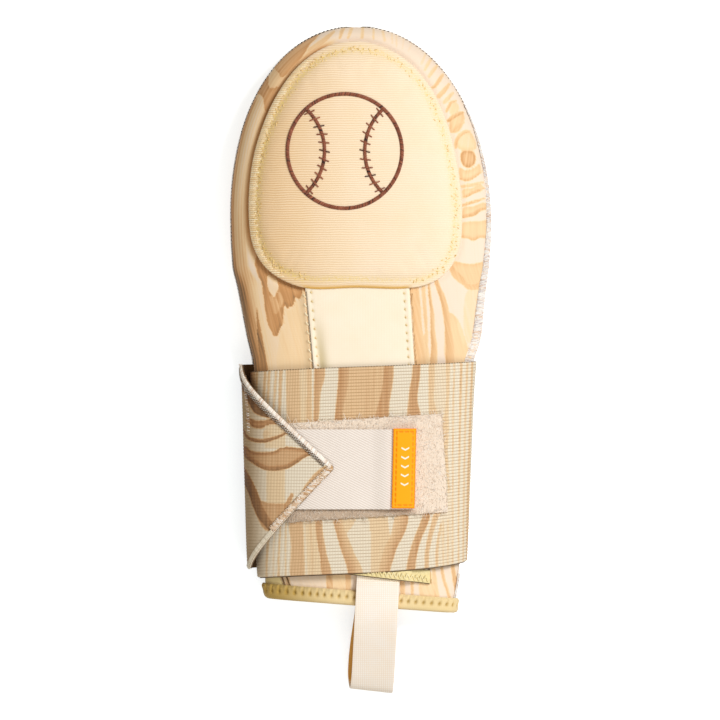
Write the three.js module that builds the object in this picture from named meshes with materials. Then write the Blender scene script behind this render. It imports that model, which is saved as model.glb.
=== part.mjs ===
// A baseball sliding mitt, a padded pocket for the whole hand with a wide wrist strap, lying palm down.
// Millimetres: +X to the right of the back of the hand, +Y to the fingertips, +Z up from the surface below.
import * as THREE from "three";
import { mergeVertices } from "three/addons/utils/BufferGeometryUtils.js";

// Driving sizes of the mitt's body.
const WIDEST_Y = 67.5;
const TIP_LENGTH = 100;
const TIP_DRIFT = -2.4;
const HEM_Y = -122.9;
const HEM_SLOPE = -0.078;
const HEM_FADE = { from: -60, to: -100 };

// Roundness of the outline's tip, of its side profile, and of the sections over and under the seam.
const ROUND = { outline: 2.12, profile: 3, back: 2.5, palm: 3.5 };
const PALM_FLATTENING = 1.5;

// Sizes of the body along Y. left and right are the outline, crown and seam are heights, floor is what
// the palm is clear of, and side, back and palm are the padded wall's thicknesses.
const BODY = [
  { y: -124, left: -46.0, right: 47.0, crown: 25.6, seam: 12.4, floor: 1.8, side: 2.6, back: 3.0, palm: 3.0 },
  { y: -108, left: -48.4, right: 49.2, crown: 26.4, seam: 12.8, floor: 1.8, side: 2.8, back: 3.2, palm: 3.4 },
  { y: -54, left: -51.2, right: 52.6, crown: 27.2, seam: 13.0, floor: 1.8, side: 3.2, back: 3.8, palm: 4.4 },
  { y: -2, left: -53.9, right: 56.2, crown: 28.8, seam: 13.5, floor: 1.8, side: 3.8, back: 5.0, palm: 6.0 },
  { y: 12, left: -56.8, right: 60.2, crown: 30.4, seam: 13.8, floor: 0, side: 4.2, back: 5.6, palm: 6.8 },
  { y: 36, left: -61.4, right: 62.8, crown: 34.0, seam: 14.0, floor: 0, side: 4.5, back: 6.2, palm: 7.2 },
  { y: 48, left: -64.0, right: 64.3, crown: 35.8, seam: 14.0, floor: 0, side: 4.5, back: 6.4, palm: 7.2 },
  { y: WIDEST_Y, left: -64.9, right: 65.2, crown: 37.5, seam: 14, floor: 0, side: 4.5, back: 6.5, palm: 7.2 },
];
const TIP_WALL = 5.5;
const HEM_WALL = BODY[0].back;

// The back and the palm of the pocket are each in two lengths, which meet here.
const JOIN_Y = 50;

// Clearances: between layers that lie on each other, and across a sewn seam.
const GAP = 0.3;
const SEAM_GAP = 0.3;

// Where the seam of back and palm runs round the right side, in turns of s: 0 is the widest point.
const RIGHT_SEAM = [
  { y: -124, s: 0.045 },
  { y: 10, s: 0.07 },
  { y: 70, s: 0.045 },
  { y: 150, s: 0 },
];

// The cream gusset let into the left side of the cuff, a wedge between the back and the palm. Above it their
// borders draw together to one seam over fade millimetres.
const GUSSET = {
  bottomY: -121.2,
  topY: -62,
  fade: 30,
  back: { bottom: 0.785, top: 0.97 },
  palm: { bottom: 1.12, top: 1.03 },
};

// The panel down the middle of the back, from the knuckle pad to its own bound end above the hem.
const PANEL = {
  topY: 35.1,
  thickness: 1.1,
  edgeShare: 0.6,
  left: -24.4,
  leftSlope: -0.093,
  right: 26.7,
  rightSlope: -0.069,
};
const PANEL_END = { y: -107.4, slope: -0.119 };

// The padded knuckle patch: its outline on the back, clockwise from its top.
const PAD_OUTLINE = [
  { x: -3, y: 159.2 }, { x: 11, y: 156.4 }, { x: 24.5, y: 148.4 }, { x: 35.5, y: 135 }, { x: 43, y: 118.5 },
  { x: 48, y: 98.5 }, { x: 50.6, y: 74 }, { x: 49, y: 55 }, { x: 42.5, y: 43.2 }, { x: 33, y: 37.6 },
  { x: 22, y: 35.6 }, { x: -2, y: 36.0 }, { x: -26, y: 35.6 }, { x: -38, y: 39.3 }, { x: -48, y: 46.6 },
  { x: -54, y: 57.5 }, { x: -56, y: 74 }, { x: -54.4, y: 97 }, { x: -50, y: 114 }, { x: -42.6, y: 131 },
  { x: -31.5, y: 146.4 }, { x: -18.5, y: 155.8 },
];
const PAD = { centre: { x: -3, y: 88 }, thickness: 5, rim: 2.2, shoulder: 0.86, clearance: 0.45 };

// The elastic strap. It starts at the left side, crosses the back to the right, passes under the palm
// and comes up the left side again to a pointed end. s falls along it, and a full turn is 2. It stands
// loose of its own start at the left side, from lifts on, and lies over the fastener from lands on.
const STRAP = {
  thickness: 1.5,
  start: 1.06,
  loose: 4.9,
  lifts: { from: -0.8, to: -0.97 },
  lands: { from: -1.0, to: -1.12 },
};
const STRAP_EDGES = [
  { s: -1.5, top: -3.0, bottom: -104.4 },
  { s: -1.0, top: -2.4, bottom: -104.2 },
  { s: -0.5, top: -1.2, bottom: -102.0 },
  { s: 0.0, top: -0.7, bottom: -100.6 },
  { s: 0.3, top: -2.0, bottom: -104.0 },
  { s: 0.5, top: -3.3, bottom: -106.2 },
  { s: 1.06, top: -6.2, bottom: -108.8 },
];
const POINT = { x: -13.6, y: -53.8, upperSlope: 0.953, lowerSlope: 1.037, blunt: 0.8 };

// The fastener on the strap's front: loop patch, hook tab with a folded pull tag on its end.
const LOOP_PATCH = { x: 2, y: -53.8, length: 80, height: 49, tilt: 0.062, thickness: 1.2 };
const HOOK_TAB = {
  left: -36,
  right: 25,
  top: -34.6,
  bottom: -74.4,
  thickness: 1.4,
  rise: { from: 5, to: 14, by: 1.2 },
};
const PULL_TAG = { left: 16, right: 27.4, top: -34.1, bottom: -74.3, thickness: 0.9 };

// The bound hem of the cuff, and the webbing loop sewn under the panel's end, where it lifts the panel.
const BINDING = { height: 7.5, thickness: 1.2, clearance: 0.5, turnY: 3.2 };
const LOOP = { width: 21.4, thickness: 1.0, x: 9.2, lean: 0.063, sewnY: -99.5 };
const LOOP_SEWN = [LOOP.sewnY, -104, -109, -111.5, -114, -118.5, -123];
const LOOP_OVER_BINDING = { from: -109, to: -114 };
const LOOP_FREE = { from: -114, to: -126 };
const LOOP_LIFT = { left: -4, right: 23, soft: 5, from: -87, to: -95 };
const LOOP_PATH = [
  { y: -126.5, z: 28.9, aside: 0 },
  { y: -132, z: 27.4, aside: 0 },
  { y: -139, z: 24.2, aside: 0 },
  { y: -147, z: 19.6, aside: 0 },
  { y: -155, z: 14.6, aside: 0 },
  { y: -161.5, z: 10.2, aside: -0.1 },
  { y: -165.6, z: 6.4, aside: -0.3 },
  { y: -166.6, z: 3.4, aside: -0.7 },
  { y: -164.4, z: 1.2, aside: -1.3 },
  { y: -160, z: 0.9, aside: -1.9 },
  { y: -153, z: 2.4, aside: -2.0 },
  { y: -146, z: 6.4, aside: -1.7 },
  { y: -139.5, z: 12.2, aside: -1.2 },
  { y: -133.5, z: 18.8, aside: -0.6 },
  { y: -128.5, z: 24.6, aside: -0.2 },
];

const CREAM = 0xfbe6bd;
const WOOD = 0xecd0a4;
const STRAP_PRINT = 0xe3c49a;
const PALE_YELLOW = 0xefdca2;
const TWILL = 0xeee2d5;
const FLEECE = 0xe9d4be;
const ORANGE = 0xfba61e;
const WEBBING = 0xfaead6;

const clamp01 = (t) => Math.min(1, Math.max(0, t));
const lerp = (a, b, t) => a + (b - a) * t;
const ease = (from, to, value) => {
  const t = clamp01((value - from) / (to - from));
  return t * t * (3 - 2 * t);
};
// 1 between from and to, easing to 0 over soft millimetres outside them.
const plateau = (from, to, soft, value) => ease(from - soft, from, value) * (1 - ease(to, to + soft, value));
const steps = (from, to, count) => Array.from({ length: count + 1 }, (_, i) => lerp(from, to, i / count));

// A column of a table at a place along it, on a curve that never overshoots the rows.
function along(table, place, key, column) {
  const last = table.length - 1;
  let i = table.findIndex((row) => place < row[key]) - 1;
  if (i === -2) i = last - 1;
  i = Math.max(0, Math.min(last - 1, i));
  const slope = (k) => (table[k + 1][column] - table[k][column]) / (table[k + 1][key] - table[k][key]);
  const tangent = (k) => {
    if (k === 0 || k === last) return 0;
    const [before, after] = [slope(k - 1), slope(k)];
    return before * after <= 0 ? 0 : (2 * before * after) / (before + after);
  };
  const width = table[i + 1][key] - table[i][key];
  const t = clamp01((place - table[i][key]) / width);
  const [a, b] = [table[i][column], table[i + 1][column]];
  const [ta, tb] = [tangent(i) * width, tangent(i + 1) * width];
  return a + t * (ta + t * (3 * (b - a) - 2 * ta - tb + t * (2 * (a - b) + ta + tb)));
}

// The section across the mitt at y, grown outwards: half width, centre, and heights over and under the seam.
function section(y, grow) {
  const body = (column) => along(BODY, Math.min(y, WIDEST_Y), "y", column);
  const reach = clamp01((y - WIDEST_Y) / (TIP_LENGTH + grow.tip));
  const left = 1 - reach ** ROUND.outline;
  const narrowing = left ** (1 / ROUND.outline);
  const thinning = left ** (1 / ROUND.profile);
  const seam = body("seam");
  const floor = body("floor") - grow.palm;
  return {
    half: ((body("right") - body("left")) / 2 + grow.side) * narrowing,
    centre: (body("right") + body("left")) / 2 + TIP_DRIFT * reach,
    over: (body("crown") - seam + grow.back) * thinning,
    under: (seam - body("floor") + PALM_FLATTENING + grow.palm) * thinning,
    seam,
    floor,
  };
}

const grown = (amount) => ({ side: amount, back: amount, palm: amount, tip: amount });
const dome = (share, power) => Math.max(0, 1 - Math.abs(share) ** power) ** (1 / power);

// A point of the section at y: s is 0 at the right side, 0.5 on the back, 1 at the left, 1.5 on the palm.
function skin(s, y, grow) {
  const at = section(y, grow);
  const share = Math.cos(Math.PI * s);
  const x = at.centre + at.half * share;
  if (Math.sin(Math.PI * s) >= 0) return [x, y, at.seam + at.over * dome(share, ROUND.back)];
  return [x, y, Math.max(at.floor, at.seam - at.under * dome(share, ROUND.palm))];
}

// The same for what is cut to the sloping hem: y slides down towards the right near the cuff.
function hemmed(s, y, grow) {
  const [x] = skin(s, y, grow);
  const share = ease(HEM_FADE.from, HEM_FADE.to, y);
  return skin(s, y + HEM_SLOPE * x * share, grow);
}

// A point over the back at x and y, height millimetres out from it.
function lay(x, y, height) {
  const at = section(y, grown(height));
  return [x, y, at.seam + at.over * dome((x - at.centre) / at.half, ROUND.back)];
}

// How far the sewn end of the webbing loop lifts the panel over it.
const underPanel = (x, y) =>
  (2 * LOOP.thickness + 2 * GAP) *
  plateau(LOOP_LIFT.left, LOOP_LIFT.right, LOOP_LIFT.soft, x) *
  ease(LOOP_LIFT.from, LOOP_LIFT.to, y);
const panelLeft = (y) => PANEL.left + PANEL.leftSlope * y;
const panelRight = (y) => PANEL.right + PANEL.rightSlope * y;

// The strap's arch over the back: it clears the panel at its top edge, and the loop's sewn end too at its
// bottom, where it also stands off a little at both sides.
const STRAP_ARCH = {
  top: PANEL.thickness + 2 * GAP,
  bottom: PANEL.thickness + 2 * LOOP.thickness + 4 * GAP,
  flare: 1.7,
};
function onStrap(y, height) {
  const down = clamp01(y / LOOP.sewnY);
  const arch = lerp(STRAP_ARCH.top, STRAP_ARCH.bottom, down);
  return { side: height + STRAP_ARCH.flare * down, back: height + arch, palm: height, tip: height };
}

// A point over the strap's arch at x and y, height millimetres out from the arch.
function layOnStrap(x, y, height) {
  const at = section(y, onStrap(y, height));
  return [x, y, at.seam + at.over * dome((x - at.centre) / at.half, ROUND.back)];
}

// A closed solid between two grids of points: both faces and the edges. wrap joins its last column to
// the first.
function slab(outer, inner, wrap = false) {
  const [rows, columns] = [outer.length, outer[0].length];
  const index = [];
  const at = (layer, i, j) => (layer * rows + i) * columns + (j % columns);
  const quad = (a, b, c, d) => index.push(a, b, c, a, c, d);
  const across = wrap ? columns : columns - 1;
  for (let j = 0; j < across; j++) {
    for (let i = 0; i < rows - 1; i++) {
      quad(at(0, i, j), at(0, i, j + 1), at(0, i + 1, j + 1), at(0, i + 1, j));
      quad(at(1, i, j), at(1, i + 1, j), at(1, i + 1, j + 1), at(1, i, j + 1));
    }
    quad(at(0, 0, j), at(1, 0, j), at(1, 0, j + 1), at(0, 0, j + 1));
    quad(at(0, rows - 1, j), at(0, rows - 1, j + 1), at(1, rows - 1, j + 1), at(1, rows - 1, j));
  }
  if (!wrap) {
    const edge = columns - 1;
    for (let i = 0; i < rows - 1; i++) {
      quad(at(0, i, 0), at(0, i + 1, 0), at(1, i + 1, 0), at(1, i, 0));
      quad(at(0, i, edge), at(1, i, edge), at(1, i + 1, edge), at(0, i + 1, edge));
    }
  }
  return closed([...outer.flat(), ...inner.flat()], index);
}

// A geometry of points and triangles with shared corners merged and its faces pointing out.
function closed(points, index) {
  let geometry = new THREE.BufferGeometry();
  geometry.setAttribute("position", new THREE.Float32BufferAttribute(points.flat(), 3));
  geometry.setIndex(index);
  geometry = mergeVertices(geometry, 0.005);
  const old = geometry.index.array;
  const kept = [];
  for (let i = 0; i < old.length; i += 3) {
    const [a, b, c] = [old[i], old[i + 1], old[i + 2]];
    if (a !== b && b !== c && c !== a) kept.push(a, b, c);
  }
  if (volume(geometry.attributes.position, kept) < 0) kept.reverse();
  geometry.setIndex(kept);
  geometry.computeVertexNormals();
  return geometry;
}

function volume(position, index) {
  const corner = (i) => new THREE.Vector3().fromBufferAttribute(position, index[i]);
  let sum = 0;
  for (let i = 0; i < index.length; i += 3) sum += corner(i).dot(corner(i + 1).cross(corner(i + 2))) / 6;
  return sum;
}

const grid = (rows, columns, point) => rows.map((r) => columns.map((c) => point(r, c)));

// Moves the point at a border by the seam's half gap towards its neighbour inside the piece.
function drawnIn(border, neighbour) {
  const [b, n] = [new THREE.Vector3(...border), new THREE.Vector3(...neighbour)];
  return b.add(n.sub(b).setLength(SEAM_GAP / 2)).toArray();
}

// A row of columns points from s = from to s = to, drawn in at both seams.
function seamedRow(from, to, columns, point) {
  const row = steps(from, to, columns).map(point);
  row[0] = drawnIn(row[0], row[1]);
  row[columns] = drawnIn(row[columns], row[columns - 1]);
  return row;
}

const rightSeam = (y) => along(RIGHT_SEAM, y, "y", "s");
const gussetShare = (y) => clamp01((y - GUSSET.bottomY) / (GUSSET.topY - GUSSET.bottomY));
const gussetBorder = (side, y) => {
  if (y <= GUSSET.topY) return lerp(GUSSET[side].bottom, GUSSET[side].top, gussetShare(y));
  return lerp(GUSSET[side].top, 1, ease(GUSSET.topY, GUSSET.topY + GUSSET.fade, y));
};

// Stations from the cuff to the fingertips. Past the widest place they follow the round of the tip.
const GUSSET_ROWS = [GUSSET.bottomY, -111, -100, -88, -75];
const CUFF_ROWS = [...GUSSET_ROWS, GUSSET.topY, -50, -36, -20, -4, 2, 7, 13, 24, 36];
const TIP_ROWS = steps(0, 90, 9);
const LOWER_ROWS = { cuff: [...CUFF_ROWS, JOIN_Y - SEAM_GAP / 2], tip: [] };
const FINGER_ROWS = { cuff: [JOIN_Y + SEAM_GAP / 2], tip: TIP_ROWS };
const tipY = (degrees, grow) =>
  WIDEST_Y + (TIP_LENGTH + grow) * Math.sin(THREE.MathUtils.degToRad(degrees)) ** (2 / ROUND.outline);

const NO_GROWTH = grown(0);
const wallIn = (y) => {
  const wall = (column) => -along(BODY, Math.min(y, WIDEST_Y), "y", column);
  return { side: wall("side"), back: wall("back"), palm: wall("palm"), tip: -TIP_WALL };
};

// A length of the pocket's back or palm, from the seam on one side to the seam on the other. rows are its
// stations below the widest place and round the tip. lift is the half gap of its pole at the fingertips.
function halfShell(from, to, columns, lift, rows) {
  const surface = (growAt, tipGrow) => {
    const shell = rows.cuff.map((y) => seamedRow(from(y), to(y), columns, (s) => hemmed(s, y, growAt(y))));
    for (const degrees of rows.tip) {
      const y = tipY(degrees, tipGrow);
      const row = seamedRow(from(y), to(y), columns, (s) => skin(s, y, growAt(y)));
      const [x, tip, z] = skin(0, y, growAt(y));
      shell.push(degrees < 90 ? row : row.map(() => [x, tip, z + lift]));
    }
    return shell;
  };
  return slab(surface(() => NO_GROWTH, 0), surface(wallIn, -TIP_WALL));
}

const backShell = (rows) => halfShell(rightSeam, (y) => gussetBorder("back", y), 22, SEAM_GAP / 2, rows);
const palmShell = (rows) =>
  halfShell((y) => gussetBorder("palm", y), (y) => 2 + rightSeam(y), 20, -SEAM_GAP / 2, rows);

function cuffGusset() {
  const surface = (growAt) =>
    GUSSET_ROWS.map((y) =>
      seamedRow(gussetBorder("back", y), gussetBorder("palm", y), 8, (s) => hemmed(s, y, growAt(y))),
    );
  return slab(surface(() => NO_GROWTH), surface(wallIn));
}

// A strip folded along a path in a plane: the path offset to both sides by half of its thickness.
function foldedSides(path, thickness) {
  const sides = path.map(([a, b], i) => {
    const [before, after] = [path[Math.max(0, i - 1)], path[Math.min(path.length - 1, i + 1)]];
    const [da, db] = [after[0] - before[0], after[1] - before[1]];
    const scale = thickness / 2 / Math.hypot(da, db);
    return [[a - db * scale, b + da * scale], [a + db * scale, b - da * scale]];
  });
  return [sides.map((pair) => pair[0]), sides.map((pair) => pair[1])];
}

// The hem's binding: a strip folded round the end of the wall, inside and outside, all round the cuff.
function cuffBinding() {
  const middle = BINDING.thickness / 2 + BINDING.clearance;
  const wall = HEM_WALL + 2 * middle;
  const leg = [HEM_Y + BINDING.height, HEM_Y + BINDING.turnY];
  const bottom = HEM_Y + BINDING.thickness / 2;
  // Pairs of a share across the wall, 0 inside and 1 outside, and y.
  const turn = [
    [0.1, bottom + BINDING.thickness * 0.4],
    [0.5, bottom],
    [0.9, bottom + BINDING.thickness * 0.4],
  ];
  const path = [...leg.map((y) => [0, y]), ...turn, ...[...leg].reverse().map((y) => [1, y])];
  const [outer, inner] = foldedSides(path.map(([t, y]) => [t * wall, y]), BINDING.thickness);
  const turns = steps(0, 2, 44).slice(0, -1);
  const place = ([across, y], s) => hemmed(s, y, grown(across - HEM_WALL - middle));
  return slab(
    outer.map((p) => turns.map((s) => place(p, s))),
    inner.map((p) => turns.map((s) => place(p, s))),
    true,
  );
}

function centrePanel() {
  const endY = (x) => PANEL_END.y + PANEL_END.slope * x;
  const shares = [0, 0.04, 0.12, 0.22, 0.34, 0.5, 0.66, 0.78, 0.88, 0.96, 1];
  const rows = [0, 0.12, 0.26, 0.4, 0.54, 0.68, 0.79, 0.86, 0.91, 0.955, 1];
  const surface = (over) =>
    grid(rows, shares, (row, share) => {
      const guess = lerp(PANEL.topY, PANEL_END.y, row);
      const x = lerp(panelLeft(guess), panelRight(guess), share);
      const y = lerp(PANEL.topY, endY(x), row);
      const edge = share === 0 || share === 1 ? PANEL.edgeShare : 1;
      return lay(x, y, GAP + underPanel(x, y) + over * edge);
    });
  return slab(surface(PANEL.thickness), surface(0));
}

// The knuckle pad: rings of its outline, with a rounded shoulder down to a low rim.
function knucklePad() {
  const rings = [0, 0.4, 0.7, PAD.shoulder, 0.94, 0.98, 1];
  const curve = new THREE.CatmullRomCurve3(
    PAD_OUTLINE.map((p) => new THREE.Vector3(p.x, p.y, 0)),
    true,
    "centripetal",
  );
  const rim = curve.getSpacedPoints(48).slice(0, -1);
  const rounding = (ring) => {
    const t = clamp01((ring - PAD.shoulder) / (1 - PAD.shoulder));
    return Math.sqrt(1 - t * t);
  };
  const surface = (over) =>
    grid(rings, rim, (ring, p) => {
      const [x, y] = [lerp(PAD.centre.x, p.x, ring), lerp(PAD.centre.y, p.y, ring)];
      return lay(x, y, PAD.clearance + over * (PAD.rim + (PAD.thickness - PAD.rim) * rounding(ring)));
    });
  return slab(surface(1), surface(0), true);
}

const LAYER = STRAP.thickness + GAP;
const PATCH_BASE = GAP + LAYER;
const TAB_BASE = PATCH_BASE + LOOP_PATCH.thickness + GAP;
const FLAP_BASE = TAB_BASE + HOOK_TAB.thickness + GAP;

// How far the strap lies out from the body, or from its arch over the back, at s.
function strapHeight(s) {
  if (s > STRAP.lifts.from) return GAP;
  const side = lerp(GAP, STRAP.loose, ease(STRAP.lifts.from, STRAP.lifts.to, s));
  return lerp(side, FLAP_BASE, ease(STRAP.lands.from, STRAP.lands.to, s));
}

function strapPoint(s, y, over) {
  const point = skin(s, y, onStrap(y, strapHeight(s) + over));
  point[2] = Math.max(point[2], STRAP.thickness - over);
  return point;
}

// The strap's places along s, from its start to its point, and the length that is left to the point.
function strapStations() {
  const reach = (s) => skin(s, POINT.y, onStrap(POINT.y, FLAP_BASE))[0];
  const end = steps(-1.5, -1.35, 600).find((s) => reach(s) <= POINT.x);
  const stations = [...steps(STRAP.start, -0.77, 46), ...steps(-0.8, end, 32)];
  const points = stations.map((s) => new THREE.Vector3(...strapPoint(s, POINT.y, 0)));
  const left = new Array(stations.length).fill(POINT.blunt);
  for (let i = stations.length - 2; i >= 0; i--) left[i] = left[i + 1] + points[i].distanceTo(points[i + 1]);
  return stations.map((s, i) => ({ s, left: left[i] }));
}

function wristStrap() {
  const across = steps(0, 1, 5);
  const surface = (over) =>
    strapStations().map(({ s, left }) => {
      const top = Math.min(along(STRAP_EDGES, s, "s", "top"), POINT.y + POINT.upperSlope * left);
      const bottom = Math.max(along(STRAP_EDGES, s, "s", "bottom"), POINT.y - POINT.lowerSlope * left);
      return across.map((t) => strapPoint(s, lerp(bottom, top, t), over));
    });
  return slab(surface(STRAP.thickness), surface(0));
}

function loopPatch() {
  const { x: cx, y: cy, length, height, tilt, thickness } = LOOP_PATCH;
  const surface = (over) =>
    grid(steps(-length / 2, length / 2, 16), steps(-height / 2, height / 2, 4), (a, b) => {
      const [x, y] = [cx + a - tilt * b, cy + b + tilt * a];
      return layOnStrap(x, y, PATCH_BASE + over);
    });
  return slab(surface(thickness), surface(0));
}

const tabRise = (x) => HOOK_TAB.rise.by * ease(HOOK_TAB.rise.from, HOOK_TAB.rise.to, x);

function hookTab() {
  const surface = (over) =>
    grid(steps(HOOK_TAB.left, HOOK_TAB.right, 18), steps(HOOK_TAB.bottom, HOOK_TAB.top, 4), (x, y) =>
      layOnStrap(x, y, TAB_BASE + tabRise(x) + over),
    );
  return slab(surface(HOOK_TAB.thickness), surface(0));
}

// The tag is folded round the tab's end: a leaf under it, a round turn, and a leaf over it.
function pullTag() {
  const under = TAB_BASE + PULL_TAG.thickness / 2;
  const over = TAB_BASE + HOOK_TAB.rise.by + HOOK_TAB.thickness + GAP + PULL_TAG.thickness / 2;
  const [middle, reach] = [(under + over) / 2, (over - under) / 2];
  const turn = PULL_TAG.right - PULL_TAG.thickness / 2 - reach;
  const leaf = steps(PULL_TAG.left, turn, 3);
  const arc = steps(-90, 90, 6).map((d) => THREE.MathUtils.degToRad(d));
  const path = [
    ...leaf.slice(0, -1).map((x) => [x, under]),
    ...arc.map((a) => [turn + reach * Math.cos(a), middle + reach * Math.sin(a)]),
    ...leaf.slice(0, -1).reverse().map((x) => [x, over]),
  ];
  const sides = foldedSides(path, PULL_TAG.thickness).map((side) =>
    grid(side, steps(PULL_TAG.bottom, PULL_TAG.top, 4), ([x, height], y) => layOnStrap(x, y, height)),
  );
  return slab(...sides);
}

// The webbing loop: two layers under the panel's end, over the binding, and a drooping eye below the cuff.
// Its lower leg hangs a little to the left of the upper one.
function pullLoop() {
  const overBinding = (y) =>
    (BINDING.thickness + BINDING.clearance) * ease(LOOP_OVER_BINDING.from, LOOP_OVER_BINDING.to, y);
  const onBack = (y, height) => ({ y, z: lay(LOOP.x, y, height + overBinding(y))[2], aside: 0 });
  const lower = GAP + LOOP.thickness / 2;
  const upper = lower + LOOP.thickness + GAP;
  const path = [
    ...LOOP_SEWN.map((y) => onBack(y, upper)),
    ...LOOP_PATH,
    ...[...LOOP_SEWN].reverse().map((y) => onBack(y, lower)),
  ];
  const eye = new THREE.CatmullRomCurve3(path.map((p) => new THREE.Vector3(p.aside, p.y, p.z)));
  const fine = steps(0, 1, 52).map((t) => eye.getPoint(t));
  const sewnShare = (y) => ease(LOOP_FREE.to, LOOP_FREE.from, y);
  const sides = foldedSides(fine.map((p) => [p.y, p.z]), LOOP.thickness).map((side) =>
    grid(side.map((pair, i) => [...pair, fine[i].x]), steps(-0.5, 0.5, 4), ([y, z, aside], across) => {
      const x = LOOP.x + aside + LOOP.lean * (y - LOOP.sewnY) + across * LOOP.width;
      return [x, y, z + sewnShare(y) * (lay(x, y, 1)[2] - lay(LOOP.x, y, 1)[2])];
    }),
  );
  return slab(...sides);
}

function piece(name, geometry, colour, roughness) {
  const material = new THREE.MeshStandardMaterial({ color: colour, roughness, metalness: 0 });
  const mesh = new THREE.Mesh(geometry, material);
  mesh.name = name;
  return mesh;
}

const mitt = new THREE.Group();
mitt.add(
  piece("back_shell", backShell(LOWER_ROWS), WOOD, 0.8),
  piece("back_fingers", backShell(FINGER_ROWS), WOOD, 0.8),
  piece("palm_shell", palmShell(LOWER_ROWS), WOOD, 0.8),
  piece("palm_fingers", palmShell(FINGER_ROWS), WOOD, 0.8),
  piece("cuff_gusset", cuffGusset(), CREAM, 0.85),
  piece("centre_panel", centrePanel(), CREAM, 0.8),
  piece("knuckle_pad", knucklePad(), CREAM, 0.9),
  piece("cuff_binding", cuffBinding(), PALE_YELLOW, 0.85),
  piece("wrist_strap", wristStrap(), STRAP_PRINT, 0.85),
  piece("loop_patch", loopPatch(), FLEECE, 1),
  piece("hook_tab", hookTab(), TWILL, 0.85),
  piece("pull_tag", pullTag(), ORANGE, 0.55),
  piece("pull_loop", pullLoop(), WEBBING, 0.85),
);

export default mitt;
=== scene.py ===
from math import pi, radians

import bmesh
import bpy
import numpy as np
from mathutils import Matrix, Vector, bvhtree, geometry


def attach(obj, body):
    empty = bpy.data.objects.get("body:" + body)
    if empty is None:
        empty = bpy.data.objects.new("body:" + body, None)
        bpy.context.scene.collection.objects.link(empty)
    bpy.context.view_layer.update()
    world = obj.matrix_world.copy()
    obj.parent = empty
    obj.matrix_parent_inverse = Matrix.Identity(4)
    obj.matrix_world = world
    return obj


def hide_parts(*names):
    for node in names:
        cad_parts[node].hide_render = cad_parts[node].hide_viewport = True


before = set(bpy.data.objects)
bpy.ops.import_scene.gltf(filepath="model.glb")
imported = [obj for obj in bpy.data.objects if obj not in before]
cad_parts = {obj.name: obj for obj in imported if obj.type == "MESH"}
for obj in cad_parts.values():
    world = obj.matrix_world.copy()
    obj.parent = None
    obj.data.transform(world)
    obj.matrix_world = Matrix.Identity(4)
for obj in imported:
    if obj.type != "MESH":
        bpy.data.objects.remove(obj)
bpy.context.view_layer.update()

bl_info = {
    "name": "Sliding Mitt",
    "version": (1, 0, 0),
    "blender": (4, 5, 0),
    "location": "View3D > Sidebar > Mitt",
    "description": "Dresses the frame of a padded sliding mitt with cloth, thread and its wrist strap",
    "category": "Add Mesh",
}

# Sizes below are in millimetres, in the frame's own axes. Meshes are turned to metres as they are made.
MM = 0.001

# The body: outline left and right, crown and seam heights, what the palm is clear of, wall thicknesses.
WIDEST_Y = 67.5
TIP_LENGTH = 99
TIP_DRIFT = -2.4
HEM_Y = -122.9
HEM_SLOPE = -0.078
HEM_FADE = (-60, -100)
ROUND = {"outline": 2.12, "profile": 3, "back": 2.5, "palm": 3.5}
PALM_FLATTENING = 1.5
COLUMNS = ("y", "left", "right", "crown", "seam", "floor", "side", "back", "palm")
BODY = np.array([
    (-124, -46.0, 47.0, 25.6, 12.4, 1.8, 2.6, 3.0, 3.0),
    (-108, -48.4, 49.2, 26.4, 12.8, 1.8, 2.8, 3.2, 3.4),
    (-54, -51.2, 52.6, 27.2, 13.0, 1.8, 3.2, 3.8, 4.4),
    (-2, -53.9, 56.2, 28.8, 13.5, 1.8, 3.8, 5.0, 6.0),
    (12, -56.8, 60.2, 30.4, 13.8, 0, 4.2, 5.6, 6.8),
    (36, -61.4, 62.8, 34.0, 14.0, 0, 4.5, 6.2, 7.2),
    (48, -64.0, 64.3, 35.8, 14.0, 0, 4.5, 6.4, 7.2),
    (WIDEST_Y, -64.9, 65.2, 37.5, 14, 0, 4.5, 6.5, 7.2),
])
TIP_WALL = 5.5
HEM_WALL = 3.0
GAP = 0.3
RIGHT_SEAM = ((-124, 10, 70, 150), (0.045, 0.07, 0.045, 0))
GUSSET = {"bottom": -121.2, "top": -62, "fade": 30, "back": (0.785, 0.97), "palm": (1.12, 1.03)}

# The panel down the back, the knuckle pad, and what the wrist strap and its fastener measure.
PANEL = {
    "top": 36.1, "thick": 1.1, "left": -24.4, "left_slope": -0.093, "right": 26.7, "right_slope": -0.069,
    "seam": 2.8, "pitches": (4.55, 3.95),
}
PANEL_END = {"y": -107.4, "slope": -0.119}
PAD_OUTLINE = (
    (-3, 159.2), (11, 156.4), (24.5, 148.4), (35.5, 135), (43, 118.5), (48, 98.5), (50.6, 74), (49, 55),
    (42.5, 43.2), (33, 37.6), (22, 35.6), (-2, 36), (-26, 35.6), (-38, 39.3), (-48, 46.6), (-54, 57.5),
    (-56, 74), (-54.4, 97), (-50, 114), (-42.6, 131), (-31.5, 146.4), (-18.5, 155.8),
)
PAD = {"thick": 5.0, "clear": 0.45, "band": 4.3}
STRAP = {"thick": 1.5, "start": 1.06, "loose": 4.9, "lifts": (-0.8, -0.97), "lands": (-1.0, -1.12)}
STRAP_EDGES = (
    (-1.5, -1.0, -0.5, 0.0, 0.3, 0.5, 1.06),
    (-3.0, -2.4, -1.2, -0.7, -2.0, -3.3, -6.2),
    (-104.4, -104.2, -102.0, -100.6, -104.0, -106.2, -108.8),
)
RIBS = 64
CORD = 0.78
POINT = {"x": -13.6, "y": -53.8, "upper": 0.953, "lower": 1.037, "blunt": 0.8}
PATCH = {"x": 2, "y": -53.8, "length": 80, "height": 49, "tilt": 0.062, "thick": 1.2}
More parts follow.
